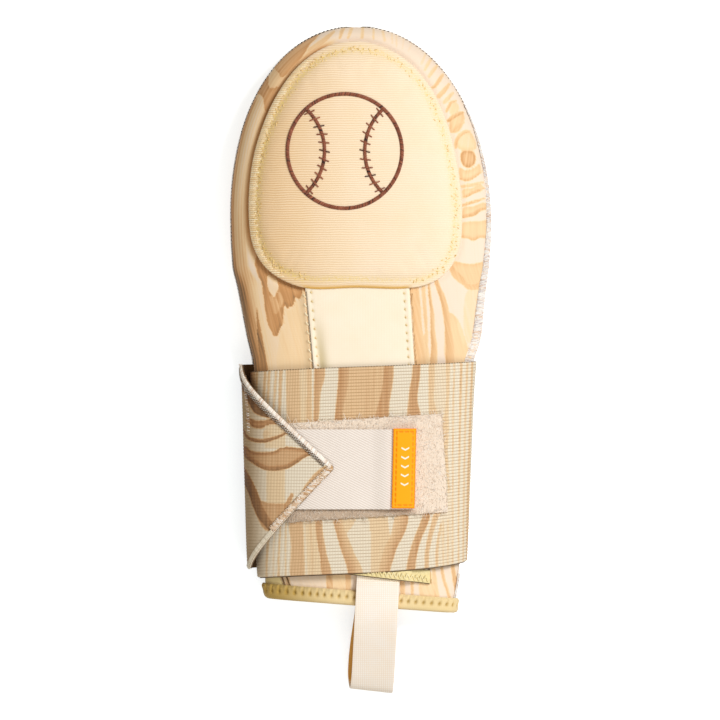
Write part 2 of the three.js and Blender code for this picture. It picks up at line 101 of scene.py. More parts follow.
TAB = {"left": -36, "right": 25, "top": -34.6, "bottom": -74.4, "thick": 1.4, "rise": (5, 14, 1.2)}
TAG = {"left": 15.8, "right": 27.3, "top": -34.1, "bottom": -73.9, "thick": 0.9, "lean": 0.022}
PULL_EDGE = TAG["left"] + 0.5
BINDING = {"height": 7.5, "thick": 1.2, "clear": 0.5, "pitch": 3.9}
LOOP = {"width": 21.4, "thick": 1.0, "x": 9.2, "lean": 0.052, "sewn": -99.5, "slope": 2.4}
LOOP_SEWN = (-99.5, -104, -109, -111.5, -114, -118.5, -123)
LOOP_LIFT = {"left": -4, "right": 23, "soft": 5, "from": -87, "to": -95}
LOOP_PATH = (
    (-126.5, 28.9, 0), (-132, 27.4, 0), (-139, 24.2, 0), (-147, 19.6, 0), (-155, 14.6, 0),
    (-161.5, 10.2, -0.1), (-165.6, 6.4, -0.3), (-166.6, 3.4, -0.7), (-164.4, 1.2, -1.3), (-160, 0.9, -1.9),
    (-153, 2.4, -2), (-146, 6.4, -1.7), (-139.5, 12.2, -1.2), (-133.5, 18.8, -0.6), (-128.5, 24.6, -0.2),
)
STRAP_ARCH = {
    "top": PANEL["thick"] + 2 * GAP, "bottom": PANEL["thick"] + 2 * LOOP["thick"] + 4 * GAP, "flare": 1.7,
}
PATCH_BASE = 2 * GAP + STRAP["thick"]
TAB_BASE = PATCH_BASE + PATCH["thick"] + GAP
FLAP_BASE = TAB_BASE + TAB["thick"] + GAP

# The printed wood grain. An area has the tone at its edge, the tone inside it and its outline; a band has
# the tones of its left and right edges and a line of x, y and half width. Cream is 0, the darkest is 1.2.
BACK_AREAS = (
    (0.82, 0.72, (-20.5, 163.8), (-22.9, 163.2), (-28.9, 160.8), (-34.4, 157), (-37.9, 154), (-43.2, 148.5),
     (-42.5, 144.5), (-41.1, 143.2), (-40.3, 140.5), (-34.9, 144), (-29.9, 150), (-27.6, 153.6),
     (-25.4, 157.6), (-22.3, 160.6)),
    (0.45, 0.4, (-43.4, 145), (-45.4, 141.9), (-46.1, 137.8), (-45.2, 135.5), (-42.4, 136), (-38.4, 139.5),
     (-40.6, 142.4), (-41.9, 144)),
    (0.86, 0.8, (-45.9, 142), (-48.9, 139.5), (-51.9, 135), (-53.9, 132), (-50.7, 132.8), (-49, 130.8),
     (-48.4, 128.5), (-48.2, 125), (-46.4, 122.5), (-44.4, 127), (-41.9, 132), (-39.9, 137), (-44.9, 135.7),
     (-45.9, 137.8)),
    (0.3, 0.3, (44.3, 128.5), (47.3, 129), (49.1, 126), (47.6, 122.5), (44.6, 122.8)),
    (0.55, 0.36, (44.3, 118.8), (45.3, 122.2), (50.8, 124), (51.8, 121), (50.6, 116.5), (47.6, 113.5),
     (44.8, 113.8)),
    (0.42, 0.24, (47.1, 109), (49.3, 113.1), (53.1, 115), (56.6, 111), (57.3, 105.5), (49.6, 105)),
    (0.84, 0.62, (53.1, 104.9), (55.8, 104.2), (57.4, 101.5), (57.1, 98.6), (55.3, 96.5), (53.2, 95.8),
     (51, 97.2), (49.8, 100.5), (50.2, 103.5)),
    (0.5, 0.34, (49.1, 95.8), (52.6, 94.5), (56.6, 95.8), (59.3, 98), (59.8, 93.8), (56.1, 90.7),
     (52.9, 89.5), (50.1, 90.3)),
    (0.45, 0.3, (50.6, 84.8), (55.6, 85.8), (60.3, 87.8), (60.8, 85), (55.6, 82.7), (51.8, 81)),
    (0.48, 0.34, (51.1, 75.8), (56.1, 76.6), (62.1, 78.5), (62.8, 75.7), (58.6, 73.7), (55.6, 72),
     (51.1, 71.2)),
    (0.46, 0.36, (50.1, 68), (54.6, 69), (59.6, 69.2), (63.8, 69.5), (63.8, 61.2), (58.8, 61), (56, 59.5),
     (53.1, 60.8), (50.1, 61)),
    (0.54, 0.42, (43.1, 50), (46, 43.8), (48.8, 40.2), (51.8, 37.3), (54.1, 35.3), (58.2, 35.5),
     (60.3, 37.3), (62.6, 42), (64.1, 49), (54.6, 47.8), (45.6, 49.5)),
    (0.2, 0.2, (53.3, 34.5), (59.8, 34.5), (60.1, 22.5), (57.8, 9), (53.3, 9)),
    (0.4, 0.36, (44.1, 23.5), (47.1, 21.8), (49.1, 18.8), (50.8, 13.8), (52.6, 9), (54.3, -3), (43.6, -3)),
    (0.36, 0.34, (28.1, 12.5), (30.6, 11), (33.1, 15), (33.6, 7.5), (33.6, -3), (26.6, -3)),
    (1, 0.88, (-52.9, 49), (-52.1, 45), (-51.2, 42), (-49.9, 39.4), (-49.3, 37.5), (-49, 33.9), (-48.4, 31),
     (-48, 26.3), (-47.3, 22.1), (-46.7, 18.8), (-45.7, 16.2), (-44.6, 14.2), (-43.7, 12.3), (-42.6, 11.6),
     (-41.2, 12.8), (-40.2, 15.7), (-39, 17.5), (-38.7, 20.4), (-38.4, 24.2), (-38.2, 26.3), (-37.8, 27.6),
     (-37, 25.9), (-36.3, 25.3), (-35.5, 26.8), (-34.2, 26.3), (-33.2, 28.4), (-32.5, 31.2), (-31.5, 30.8),
     (-30.7, 29.7), (-30, 30.9), (-29.2, 35), (-32.4, 39), (-40.4, 44), (-46.4, 49), (-50.4, 55)),
    (0.26, 0.3, (-38.1, 24), (-37.2, 25.8), (-36.2, 24.8), (-35.2, 26.2), (-34.1, 25.8), (-32.9, 28),
     (-32.2, 30.5), (-30.5, 29.2), (-29.4, 31.5), (-27.8, 34), (-26.4, 25), (-24.9, 10), (-23.9, -6),
     (-40.9, -6), (-40.9, 11), (-39.7, 15.5), (-38.5, 17.2)),
    (0.5, 0.45, (-37.7, -106), (-35.5, -106), (-35.1, -116), (-37.2, -116)),
    (0.08, 0.1, (-34.9, -106), (-17.4, -106), (-17.4, -116), (-34.9, -116)),
    (0.32, 0.3, (-13.9, -106), (-7.9, -106), (-7.9, -117), (-13.4, -117)),
    (0.36, 0.3, (29.6, -110), (35.1, -106), (36.6, -115), (37.6, -123), (31.6, -123)),
)
BACK_BANDS = (
    (0.55, 0.4, (-13.6, 164, 0.6), (-18.8, 159.3, 1.3), (-25.3, 154.6, 1.4)),
    (0.55, 0.45, (-8.7, 165.8, 0.8), (-9.7, 163.5, 0.85), (-10.5, 160.8, 0.65)),
    (0.42, 0.32, (-4.7, 165.8, 0.8), (-5.4, 163.5, 0.8), (-6.4, 161, 0.65)),
    (0.4, 0.3, (1, 166, 0.75), (0.6, 161, 0.7)),
    (0.34, 0.28, (6.4, 165.5, 0.5), (6.3, 160.5, 0.45)),
    (0.3, 0.2, (10.9, 164.5, 0.7), (11.9, 159.5, 0.6)),
    (0.24, 0.2, (15.5, 163.5, 0.35), (15.8, 158, 0.3)),
    (0.24, 0.2, (17.8, 162.5, 0.35), (17.8, 156.5, 0.3)),
    (0.2, 0.16, (21.5, 161, 0.35), (20.8, 155.5, 0.3)),
    (0.14, 0.1, (25.3, 158.5, 0.4), (23.8, 154, 0.35)),
    (0.26, 0.18, (32.3, 153, 0.5), (30.3, 147.8, 0.55)),
    (0.34, 0.22, (35.3, 151, 0.6), (33.6, 148, 0.75), (31.9, 144.8, 0.6)),
    (0.42, 0.28, (38.3, 147.5, 0.6), (36.1, 144.5, 0.85), (34, 141.5, 0.65)),
    (0.66, 0.44, (40.9, 142.5, 0.6), (39.1, 139.8, 0.95), (37.3, 137, 0.85), (35.8, 136, 0.6)),
    (0.56, 0.4, (44.1, 137.8, 0.65), (41.6, 134.5, 1.1), (38.8, 131.5, 1)),
    (0.46, 0.34, (46.1, 133.5, 0.55), (43.8, 131, 0.95), (41.6, 128.5, 0.75)),
    (0.7, 0.5, (47.6, 129.5, 0.35), (45.1, 128.6, 0.65), (43.9, 126.5, 0.7), (42.7, 124, 0.6)),
    (0.8, 0.5, (51.1, 123.6, 0.4), (47.3, 122, 0.8), (43.7, 119.5, 0.85)),
    (0.58, 0.38, (51.3, 118.7, 0.5), (48.3, 117, 0.9), (45.3, 114.2, 0.9)),
    (0.72, 0.4, (54.8, 114.2, 0.3), (51.6, 113.5, 0.6), (48.8, 111.3, 0.75), (47.4, 108.5, 0.85),
     (47.4, 105.8, 0.55)),
    (0.74, 0.5, (61.1, 94.5, 0.3), (57.6, 92.2, 0.55), (55.1, 90.6, 0.7), (52.6, 89.8, 0.7),
     (49.3, 90.6, 0.55)),
    (0.5, 0.4, (61.1, 88.8, 0.45), (56.6, 87.5, 0.8), (50.3, 86.5, 0.75)),
    (0.76, 0.5, (61.6, 85.8, 0.3), (57.1, 84.2, 0.6), (54.3, 82.7, 0.7), (51.1, 81.2, 0.6)),
    (0.72, 0.5, (62.1, 81, 0.35), (57.6, 79.3, 0.65), (54.6, 78.4, 0.75), (50.8, 77.1, 0.65)),
    (0.76, 0.52, (63.3, 76.4, 0.4), (59.6, 75.2, 0.7), (56.6, 73, 0.95), (53.8, 72.2, 0.9),
     (50.1, 71.6, 0.8)),
    (0.66, 0.44, (64.1, 61.7, 0.6), (58.8, 61.6, 0.65), (56.1, 60.3, 0.75), (53.6, 61.4, 0.7),
     (49.8, 61.7, 0.7)),
    (0.62, 0.5, (43.9, 48, 0.8), (46.8, 43.2, 1.6), (50.1, 39.8, 1.6), (51.6, 37.8, 0.7)),
    (0.56, 0.5, (52.8, 36.8, 1.1), (55.6, 36.2, 1.3), (59.3, 37.5, 1.3), (61.6, 41, 0.75)),
    (0.64, 0.46, (30.1, -3, 2.9), (29.2, 7.5, 2.5), (28.3, 16, 2.25), (27.7, 25.5, 2.15), (26.4, 37.5, 2.3)),
    (0.5, 0.42, (32.9, -3, 0.5), (32.8, 5, 0.45), (32.6, 12.5, 0.55), (32.3, 21, 0.8), (31.7, 29, 0.9),
     (31, 39, 1)),
    (0.78, 0.42, (36.2, -3, 1.85), (36.6, 6, 1.5), (35.9, 14.5, 1.1), (35.6, 22.5, 0.9), (34.7, 30, 0.7),
     (33.7, 40, 0.55)),
    (0.72, 0.5, (44.6, -3, 2.2), (44.4, 7.5, 1.95), (43.6, 15, 1.65), (42.9, 21, 1.55), (42.1, 25.5, 1.5),
     (40.8, 31, 1.35), (39.1, 35.2, 1.15), (36.8, 41.5, 0.8)),
    (0.3, 0.3, (51.6, 8, 0.4), (50.1, 14, 1), (48.6, 18, 0.6)),
    (0, 0, (-45.4, 41, 1.2), (-44.4, 36, 1.8), (-43.6, 33.8, 1.2), (-43.4, 32.2, 0.6)),
    (0, 0, (-43.4, 40, 1.2), (-42.2, 36.2, 1.1), (-42.9, 34, 0.8)),
    (0.74, 0.7, (-45.2, 31.5, 0.5), (-43.4, 29.5, 1.4), (-42.2, 26.5, 1.7), (-42.4, 24, 1)),
    (0.7, 0.72, (-40.7, 33, 0.7), (-39.7, 30.5, 1.1), (-40.2, 27, 0.8)),
    (1.1, 0.96, (-48.2, -6, 2.2), (-49, 1, 1.75), (-50, 8, 1.5), (-50.7, 13.5, 1.2), (-51.2, 18, 0.8),
     (-51.7, 22, 0.55), (-52, 26, 0.25)),
    (0.7, 0.58, (-15.2, -118, 1.6), (-15.7, -106, 1.7)),
    (0.62, 0.5, (-6.2, -119, 1.3), (-6.4, -106, 1.45)),
    (0.5, 0.4, (21.1, -123, 1.1), (20.6, -106, 1.2)),
    (0.55, 0.46, (25.9, -123, 0.6), (25.5, -106, 0.7)),
    (0.5, 0.36, (38.3, -122, 1.3), (37.8, -116, 1.1), (36.9, -109, 0.9), (35.8, -100, 0.8)),
    (0.6, 0.42, (44.8, -121, 0.75), (42.9, -114, 0.7), (41.3, -109, 0.7), (40.1, -100, 0.65)),
    (0.72, 0.5, (48.3, -119, 0.65), (47.8, -114, 0.95), (46.8, -109, 1), (45.6, -100, 0.8)),
)
STRAP_AREAS = (
    (0.6, 0.58, (-37.4, -1), (-30.2, -1), (-30.4, -35), (-36.9, -35)),
    (0.36, 0.26, (-30.2, -1), (-26.9, -1), (-27.2, -35), (-30.7, -35)),
    (0.56, 0.56, (-26.9, -1), (-24.6, -1), (-24.4, -35), (-27.2, -35)),
    (0.62, 0.62, (-6.4, 0), (12.6, 0), (11.6, -15), (8.6, -35), (-9.9, -35), (-8.4, -17.5)),
    (0.16, 0.12, (36.6, 0), (41.8, 0), (42.6, -35), (36.6, -35)),
    (0.66, 0.66, (-35.3, -72.5), (-28.5, -72.5), (-27.7, -92.5), (-27.1, -110), (-34.2, -110),
     (-34.8, -92.5)),
    (0.3, 0.3, (-28.5, -72.5), (-22.4, -72.5), (-21.7, -92.5), (-19.7, -102.5), (-19.4, -110),
     (-27.1, -110), (-27.7, -92.5)),
    (0.4, 0.34, (-10.4, -72.5), (-1.4, -72.5), (-2.9, -82), (-5.7, -87), (-7.4, -90), (-9.4, -85)),
    (0.34, 0.36, (3.8, -72.5), (13.6, -72.5), (13.8, -80), (15.6, -88), (14.1, -95), (11.8, -110),
     (4.9, -110), (4.1, -92.5)),
    (0.5, 0.5, (17.1, -72.5), (20.6, -72.5), (19.1, -82.5), (16.1, -88.5), (14.8, -87), (16.3, -80)),
    (0.04, 0.04, (-7.8, -85.5), (-4.4, -82), (-0.9, -74), (3.6, -74), (4.9, -108), (0.1, -108), (-4.4, -97)),
    (0.12, 0.1, (39.6, -55), (45.6, -70), (45.6, -105), (39.6, -105)),
    # Painted shade: the strap's far left, where it runs under the flap's edge, is drawn brown.
    (1.05, 0.95, (-52.9, 0), (-56.5, 0), (-57, -36), (-53.7, -36)),
)
STRAP_BANDS = (
    (0.7, 0.6, (-55.7, -35, 0.5), (-54.4, -17.5, 0.55), (-53.6, -1, 0.55)),
    (0.7, 0.62, (-53.4, -35, 0.45), (-52.4, -17.5, 0.5), (-51.8, -1, 0.55)),
    (0.66, 0.6, (-49.7, -35, 0.5), (-48.4, -17.5, 0.6), (-47.6, -1, 0.65)),
    (0.72, 0.6, (-47.7, -35, 0.45), (-46.4, -20, 0.5), (-45.4, -1, 0.55)),
    (0.66, 0.58, (-44.7, -35, 0.4), (-43.2, -20, 0.45), (-42.1, -1, 0.5)),
    (0.66, 0.6, (-40.9, -35, 0.55), (-40.4, -20, 0.65), (-39.6, -1, 0.8)),
    (0.82, 0.72, (-22.7, -35, 1.3), (-22.2, -27, 1.35), (-21.9, -20, 1.5), (-21.5, -14, 1.9),
     (-20.7, -9, 2.5), (-20.5, -1, 2.75)),
    (0.86, 0.74, (-11.6, -35, 1.7), (-10.8, -26, 1.8), (-9.7, -17.5, 2.2), (-8.6, -10, 2.6), (-8.4, 0, 2.8)),
    (0.86, 0.78, (9.9, -35, 4), (10.9, -26, 3.1), (12.1, -19, 2.4), (13.4, -12, 2.45), (14.2, 0, 2.35)),
    (0.78, 0.84, (26.4, -35, 4), (26.4, -27, 3.3), (26, -21, 2.3), (26.4, -15, 2.1), (27.4, -9, 2),
     (28, 0, 1.9)),
    (0.56, 0.46, (36.6, -35, 2.5), (36.1, -27, 2), (35.2, -20, 1.3), (35.3, -12.5, 1.4), (35.5, 0, 1.5)),
    (0.46, 0.4, (44.2, -66, 0.4), (42.6, -46, 0.8), (42.3, -35, 1.7), (42.9, -26, 0.9),
     (43.4, -17.5, 0.8), (43.5, 0, 1.1)),
    (0.6, 0.5, (45.9, -107.5, 0.3), (46, -85, 0.25), (46.1, -30, 0.3), (46.8, 0, 0.35)),
    (0.74, 0.6, (49, -107.5, 0.25), (48.9, -80, 0.3), (49.6, -30, 0.4), (50.3, 0, 0.55)),
    (0.6, 0.5, (51.3, -107.5, 0.22), (51.4, -80, 0.3), (52.3, -30, 0.35), (53.4, 0, 0.45)),
    (0.7, 0.56, (53.4, -107.5, 0.5), (53.5, -80, 0.6), (54.8, -30, 0.45), (55.9, 0, 0.45)),
    (0.5, 0.4, (43.6, -107.5, 0.25), (43.6, -80, 0.35)),
    (0.5, 0.4, (41.3, -107.5, 0.25), (41.1, -80, 0.3)),
    (0.6, 0.5, (-47.2, -110, 0.35), (-46.7, -95, 0.5), (-45.6, -85, 0.35)),
    (0.34, 0.3, (-43.6, -110, 0.3), (-43.5, -92.5, 0.3), (-42.2, -80, 0.25)),
    (0.66, 0.55, (-41.1, -110, 0.6), (-40.9, -97.5, 0.4), (-39.9, -80, 0.35)),
    (0.5, 0.42, (-37.6, -110, 0.35), (-37.5, -92.5, 0.35), (-37.2, -80, 0.35)),
    (0.6, 0.5, (-23.9, -110, 0.4), (-24.4, -92.5, 0.45), (-26.2, -72.5, 0.4)),
    (0.12, 0.1, (-27.1, -110, 0.6), (-27.9, -90, 0.55), (-28.7, -72.5, 0.5)),
    (0.86, 0.7, (-16.4, -110, 2.5), (-17.4, -104, 2.4), (-18.6, -98, 1.8), (-19.7, -92.5, 1.8),
     (-20.7, -85, 1.6), (-21.1, -72.5, 1.6)),
    (0.84, 0.5, (-1.9, -110, 3.9), (-3.2, -104, 3.5), (-5.6, -98, 2.8), (-7.7, -92.5, 2.7), (-9.9, -86, 2.3),
     (-11.5, -80, 2.2), (-12.1, -72.5, 1.9)),
    (0.56, 0.84, (11.1, -110, 3), (12.1, -103, 2.8), (13.6, -98, 2.9), (15.1, -93, 2.8), (18.1, -88, 2.5),
     (20.6, -82, 2.5), (22.3, -72.5, 1.8)),
    (0.74, 0.84, (24.6, -110, 2.4), (25.2, -102, 2.1), (26.3, -96, 1.9), (28.4, -89, 1.7), (30.9, -83, 1.8),
     (33.3, -76, 1.8), (34.6, -70, 1.5)),
    (0.66, 0.56, (32.7, -110, 1), (32.9, -102, 1), (33.1, -96, 1), (34.4, -89, 1.05), (36.3, -82, 1.15),
     (38.1, -76, 1.6)),
    (0.62, 0.5, (38.1, -110, 0.6), (38.1, -96, 0.65), (38.8, -89, 0.55), (40.1, -82, 0.35)),
    (0, 0, (15.3, -72.5, 1.7), (15.1, -79, 1.5), (14.9, -84, 0.8), (14.7, -87, 0.2)),
)
# The flap's tones run darker than the front's: partly print, and partly painted shade where it bends over on
# the left.
FLAP_AREAS = (
    (1.2, 1.12, (-59.9, -12.5), (-57.7, -18), (-56.4, -21), (-55, -23.8), (-53.2, -26.2), (-50.2, -27.8),
     (-45.4, -28.8), (-49.4, -23.5), (-53.4, -18.5), (-56.9, -12)),
    (1.05, 0.8, (-57.2, -27.5), (-55.9, -31.2), (-54.1, -33.5), (-49.4, -34), (-46.2, -32.8), (-39.9, -32),
     (-43.9, -28.8), (-46.4, -29.8), (-51.4, -30.2), (-55.1, -29.3)),
    (0.44, 0.44, (-48.2, -35.2), (-44.4, -33.4), (-38.4, -32.8), (-34.4, -36.2), (-39.4, -37.8),
     (-44.4, -39.2), (-48.2, -39.5)),
    (0.26, 0.28, (-48, -32), (-37.6, -32), (-37.8, -44), (-47.9, -44)),
    (1.05, 0.74, (-58.9, -43.2), (-57.7, -47.8), (-54.6, -50.3), (-50.9, -52.8), (-47.9, -54.4),
     (-41.8, -54.6), (-36.6, -53.8), (-32.2, -51.4), (-28.6, -48.8), (-23.9, -46.7), (-27.4, -44.8),
     (-31.6, -43.8), (-40.3, -43.5), (-42.4, -45.2), (-50.9, -46), (-55.1, -45.2), (-57.4, -43)),
    (0.3, 0.34, (-47.2, -53), (-37.9, -53), (-37.9, -71.5), (-46.9, -71.5)),
    (0.82, 0.76, (-52.9, -68.5), (-50.2, -70), (-46.2, -71.2), (-37.9, -71.5), (-32.9, -71.5),
     (-38.4, -78.5), (-43.4, -84), (-47.4, -85), (-51.9, -77.5)),
    (0.72, 0.68, (-12.4, -51.5), (-16.4, -52.2), (-21.4, -55.2), (-25.9, -60), (-28.9, -64.5), (-30.4, -70),
     (-24.4, -66), (-10.4, -55)),
)
FLAP_BANDS = (
    (0.95, 1.12, (-58.7, -35, 0.45), (-56.9, -38.3, 0.7), (-54.4, -39.7, 0.8), (-49.4, -40.4, 0.95),
     (-44.4, -39.4, 0.85), (-39.9, -37.7, 0.65), (-35.4, -35.2, 0.3)),
    (0.9, 1.12, (-58.9, -44, 0.5), (-57.4, -48, 0.8), (-54.4, -50.2, 0.9), (-50.9, -52.4, 1),
     (-47.4, -53.8, 1.1), (-41.9, -54, 1.1), (-36.6, -53, 1), (-32.4, -50.7, 0.9), (-28.9, -48.3, 0.7),
     (-24.4, -46, 0.4)),
    (1, 1.15, (-60.9, -51, 1.2), (-57.9, -58, 2), (-55.6, -62.5, 2.2), (-53.6, -67, 2.2), (-51.9, -72, 2.3),
     (-49.7, -76.8, 2.3), (-47.1, -80.5, 2.1), (-44.4, -84, 1.7)),
    (0.84, 0.84, (-34.4, -67.2, 0.8), (-35.4, -69.5, 1.1), (-37.4, -73.5, 1.1)),
    (0.9, 0.9, (-57.2, -30.2, 0.3), (-53.4, -31.3, 0.45), (-48.4, -31.3, 0.45), (-44.4, -30.3, 0.25)),
)


def ease(start, end, value):
    t = np.clip((value - start) / (end - start), 0, 1)
    return t * t * (3 - 2 * t)


def hump(value, centre, width):
    """A smooth rise to 1 at the centre, about twice as wide as width."""
    return np.exp(-((value - centre) / width) ** 2)


def unit(vectors):
    return vectors / np.maximum(np.linalg.norm(vectors, axis=-1, keepdims=True), 1e-9)


def matched(*values):
    """The values as arrays of one shape."""
    return np.broadcast_arrays(*(np.asarray(v, float) for v in values))


def curve(keys, values, at):
    """Values of a table between its rows, on a curve that never overshoots them."""
    keys, values, at = (np.asarray(v, float) for v in (keys, values, at))
    slopes = np.diff(values) / np.diff(keys)
    before, after = slopes[:-1], slopes[1:]
    tangents = np.zeros(len(keys))
    same = before * after > 0
    tangents[1:-1][same] = 2 * before[same] * after[same] / (before[same] + after[same])
    i = np.clip(np.searchsorted(keys, at, side="right") - 1, 0, len(keys) - 2)
    width = keys[i + 1] - keys[i]
    t = np.clip((at - keys[i]) / width, 0, 1)
    a, b = values[i], values[i + 1]
    ta, tb = tangents[i] * width, tangents[i + 1] * width
    return a + t * (ta + t * (3 * (b - a) - 2 * ta - tb + t * (2 * (a - b) + ta + tb)))


def body(column, y):
    return curve(BODY[:, 0], BODY[:, COLUMNS.index(column)], np.minimum(y, WIDEST_Y))


def grown(amount):
    return dict.fromkeys(("side", "back", "palm", "tip"), amount)


def section(y, grow):
    """The grown section at y: half width, centre, heights over and under the seam, seam and floor."""
    reach = np.clip((y - WIDEST_Y) / (TIP_LENGTH + grow["tip"]), 0, 1)
    left = 1 - reach ** ROUND["outline"]
    narrowing, thinning = left ** (1 / ROUND["outline"]), left ** (1 / ROUND["profile"])
    seam = body("seam", y)
    half = ((body("right", y) - body("left", y)) / 2 + grow["side"]) * narrowing
    centre = (body("right", y) + body("left", y)) / 2 + TIP_DRIFT * reach
    over = (body("crown", y) - seam + grow["back"]) * thinning
    under = (seam - body("floor", y) + PALM_FLATTENING + grow["palm"]) * thinning
    return half, centre, over, under, seam, body("floor", y) - grow["palm"]


def dome(share, power):
    return np.maximum(0, 1 - np.abs(share) ** power) ** (1 / power)


def skin(s, y, grow):
    """Points of the sections at y: s is 0 at the right, 0.5 on the back, 1 at the left, 1.5 on the palm."""
    s, y = matched(s, y)
    half, centre, over, under, seam, floor = section(y, grow)
    share = np.cos(pi * s)
    top = seam + over * dome(share, ROUND["back"])
    low = np.maximum(floor, seam - under * dome(share, ROUND["palm"]))
    return np.stack([centre + half * share, y, np.where(np.sin(pi * s) >= 0, top, low)], -1)


def hemmed(s, y, grow):
    """The same for what is cut to the sloping hem: y slides down towards the right near the cuff."""
    s, y = matched(s, y)
    slide = HEM_SLOPE * skin(s, y, grow)[..., 0] * ease(*HEM_FADE, y)
    return skin(s, y + slide, grow)


def over_back(x, y, grow):
    x, y = matched(x, y)
    half, centre, over, _, seam, _ = section(y, grow)
    share = np.clip((x - centre) / np.maximum(half, 1e-6), -1, 1)
    return np.stack([x, y, seam + over * dome(share, ROUND["back"])], -1)


def lay(x, y, height):
    """Points over the back at x and y, height out from it."""
    return over_back(x, y, grown(height))


def on_strap(y, height):
    down = np.clip(y / LOOP["sewn"], 0, 1)
    arch = STRAP_ARCH["top"] + (STRAP_ARCH["bottom"] - STRAP_ARCH["top"]) * down
    return {"side": height + STRAP_ARCH["flare"] * down, "back": height + arch, "palm": height, "tip": height}


def lay_on_strap(x, y, height):
    """Points over the strap's arch at x and y, height out from the arch."""
    return over_back(x, y, on_strap(np.asarray(y, float), height))


def right_seam(y):
    return curve(*RIGHT_SEAM, y)


def gusset_border(side, y):
    low, high = GUSSET[side]
    share = np.clip((y - GUSSET["bottom"]) / (GUSSET["top"] - GUSSET["bottom"]), 0, 1)
    closing = ease(GUSSET["top"], GUSSET["top"] + GUSSET["fade"], y)
    return np.where(y <= GUSSET["top"], low + (high - low) * share, high + (1 - high) * closing)


def wall_in(y):
    """How far the lining lies inside the outer cloth, as a section that is grown by less than nothing."""
    return {"side": -body("side", y), "back": -body("back", y), "palm": -body("palm", y), "tip": -TIP_WALL}


def under_panel(x, y):
    """How far the sewn end of the webbing loop lifts the panel over it."""
    left, right, soft = LOOP_LIFT["left"], LOOP_LIFT["right"], LOOP_LIFT["soft"]
    across = ease(left - soft, left, x) * (1 - ease(right, right + soft, x))
    return (2 * LOOP["thick"] + 2 * GAP) * across * ease(LOOP_LIFT["from"], LOOP_LIFT["to"], y)


def panel_edges(y):
    return PANEL["left"] + PANEL["left_slope"] * y, PANEL["right"] + PANEL["right_slope"] * y


def between(first, second, start, end, t):
    """From the first to the second point as t goes from start to end."""
    return ((end - t) * first + (t - start) * second) / (end - start)


def smooth_path(points, spacing, closed=False):
    """Points every spacing along a centripetal Catmull-Rom curve through the given ones."""
    p = np.asarray(points, float)
    if closed:
        p = np.vstack([p[-1], p, p[:2]])
    else:
        p = np.vstack([2 * p[0] - p[1], p, 2 * p[-1] - p[-2]])
    fine = []
    for k in range(1, len(p) - 2):
        gaps = [max(1e-4, np.linalg.norm(p[k + i] - p[k + i - 1])) ** 0.5 for i in range(3)]
        knots = np.cumsum([0, *gaps])
        t = np.linspace(knots[1], knots[2], 24, endpoint=False)[:, None]
        a = [between(p[k - 1 + i], p[k + i], knots[i], knots[i + 1], t) for i in range(3)]
        b = [between(a[i], a[i + 1], knots[i], knots[i + 2], t) for i in range(2)]
        fine.append(between(*b, knots[1], knots[2], t))
    return spaced(np.vstack([*fine, p[-2][None]]), spacing)


def run_length(points, axis):
    """Length so far along each row or column of a grid of points."""
    step = np.linalg.norm(np.diff(points, axis=axis), axis=-1)
    start = np.zeros_like(np.take(step, [0], axis=axis))
    return np.concatenate([start, np.cumsum(step, axis=axis)], axis=axis)


def spaced(points, spacing):
    """The same path with its points an even distance apart, close to spacing."""
    points = np.asarray(points, float)
    length = run_length(points, 0)
    count = max(2, int(round(length[-1] / spacing)) + 1)
    at = np.linspace(0, length[-1], count)
    return np.stack([np.interp(at, length, column) for column in points.T], 1)


def resampled(path, count):
    """The same path with another number of points."""
    at, had = np.linspace(0, 1, count), np.linspace(0, 1, len(path))
    return np.stack([np.interp(at, had, column) for column in path.T], 1)


def left_of(along):
    return np.stack([-along[:, 1], along[:, 0]], 1)


def ways(path):
    """Unit vectors along a plan path, and to the left of it."""
    along = unit(np.gradient(path[:, :2], axis=0))
    return along, left_of(along)


def from_path(x, y, path):
    """Distance of each point from a path in plan."""
    x, y = np.asarray(x, float), np.asarray(y, float)
    best = np.full(x.shape, 1e9)
    for (ax, ay), (bx, by) in zip(path[:-1], path[1:]):
        dx, dy = bx - ax, by - ay
        t = np.clip(((x - ax) * dx + (y - ay) * dy) / max(np.hypot(dx, dy), 1e-9) ** 2, 0, 1)
        best = np.minimum(best, np.hypot(x - ax - dx * t, y - ay - dy * t))
    return best


def close_by(line, x, y, reach):
    """Which points lie within reach of the box round a line."""
    low, high = line[:, :2].min(0) - reach, line[:, :2].max(0) + reach
    return (x > low[0]) & (x < high[0]) & (y > low[1]) & (y < high[1])


def nearest_band(bands, x, y):
    """How deep each point lies inside the nearest band of a drawing, negative outside, and the tone there."""
    depth, tone = np.full(x.shape, -6.0), np.zeros(x.shape)
    for left, right, *line in bands:
        line = smooth_path(line, 1.5) if len(line) > 2 else np.array(line)
        near = close_by(line, x, y, 8)
        px, py, found, shade = x[near], y[near], depth[near], tone[near]
        for (ax, ay, aw), (bx, by, bw) in zip(line[:-1], line[1:]):
            dx, dy = bx - ax, by - ay
            length = max(np.hypot(dx, dy), 1e-6)
            t = np.clip(((px - ax) * dx + (py - ay) * dy) / length ** 2, 0, 1)
            width = aw + (bw - aw) * t
            inward = width - np.hypot(px - ax - dx * t, py - ay - dy * t)
            side = (dx * (py - ay) - dy * (px - ax)) / length
            share = np.clip(0.5 - side / (2 * width + 0.2), 0, 1)
            shade = np.where(inward > found, left + (right - left) * share, shade)
            found = np.maximum(found, inward)
        depth[near], tone[near] = found, shade
    return depth, tone


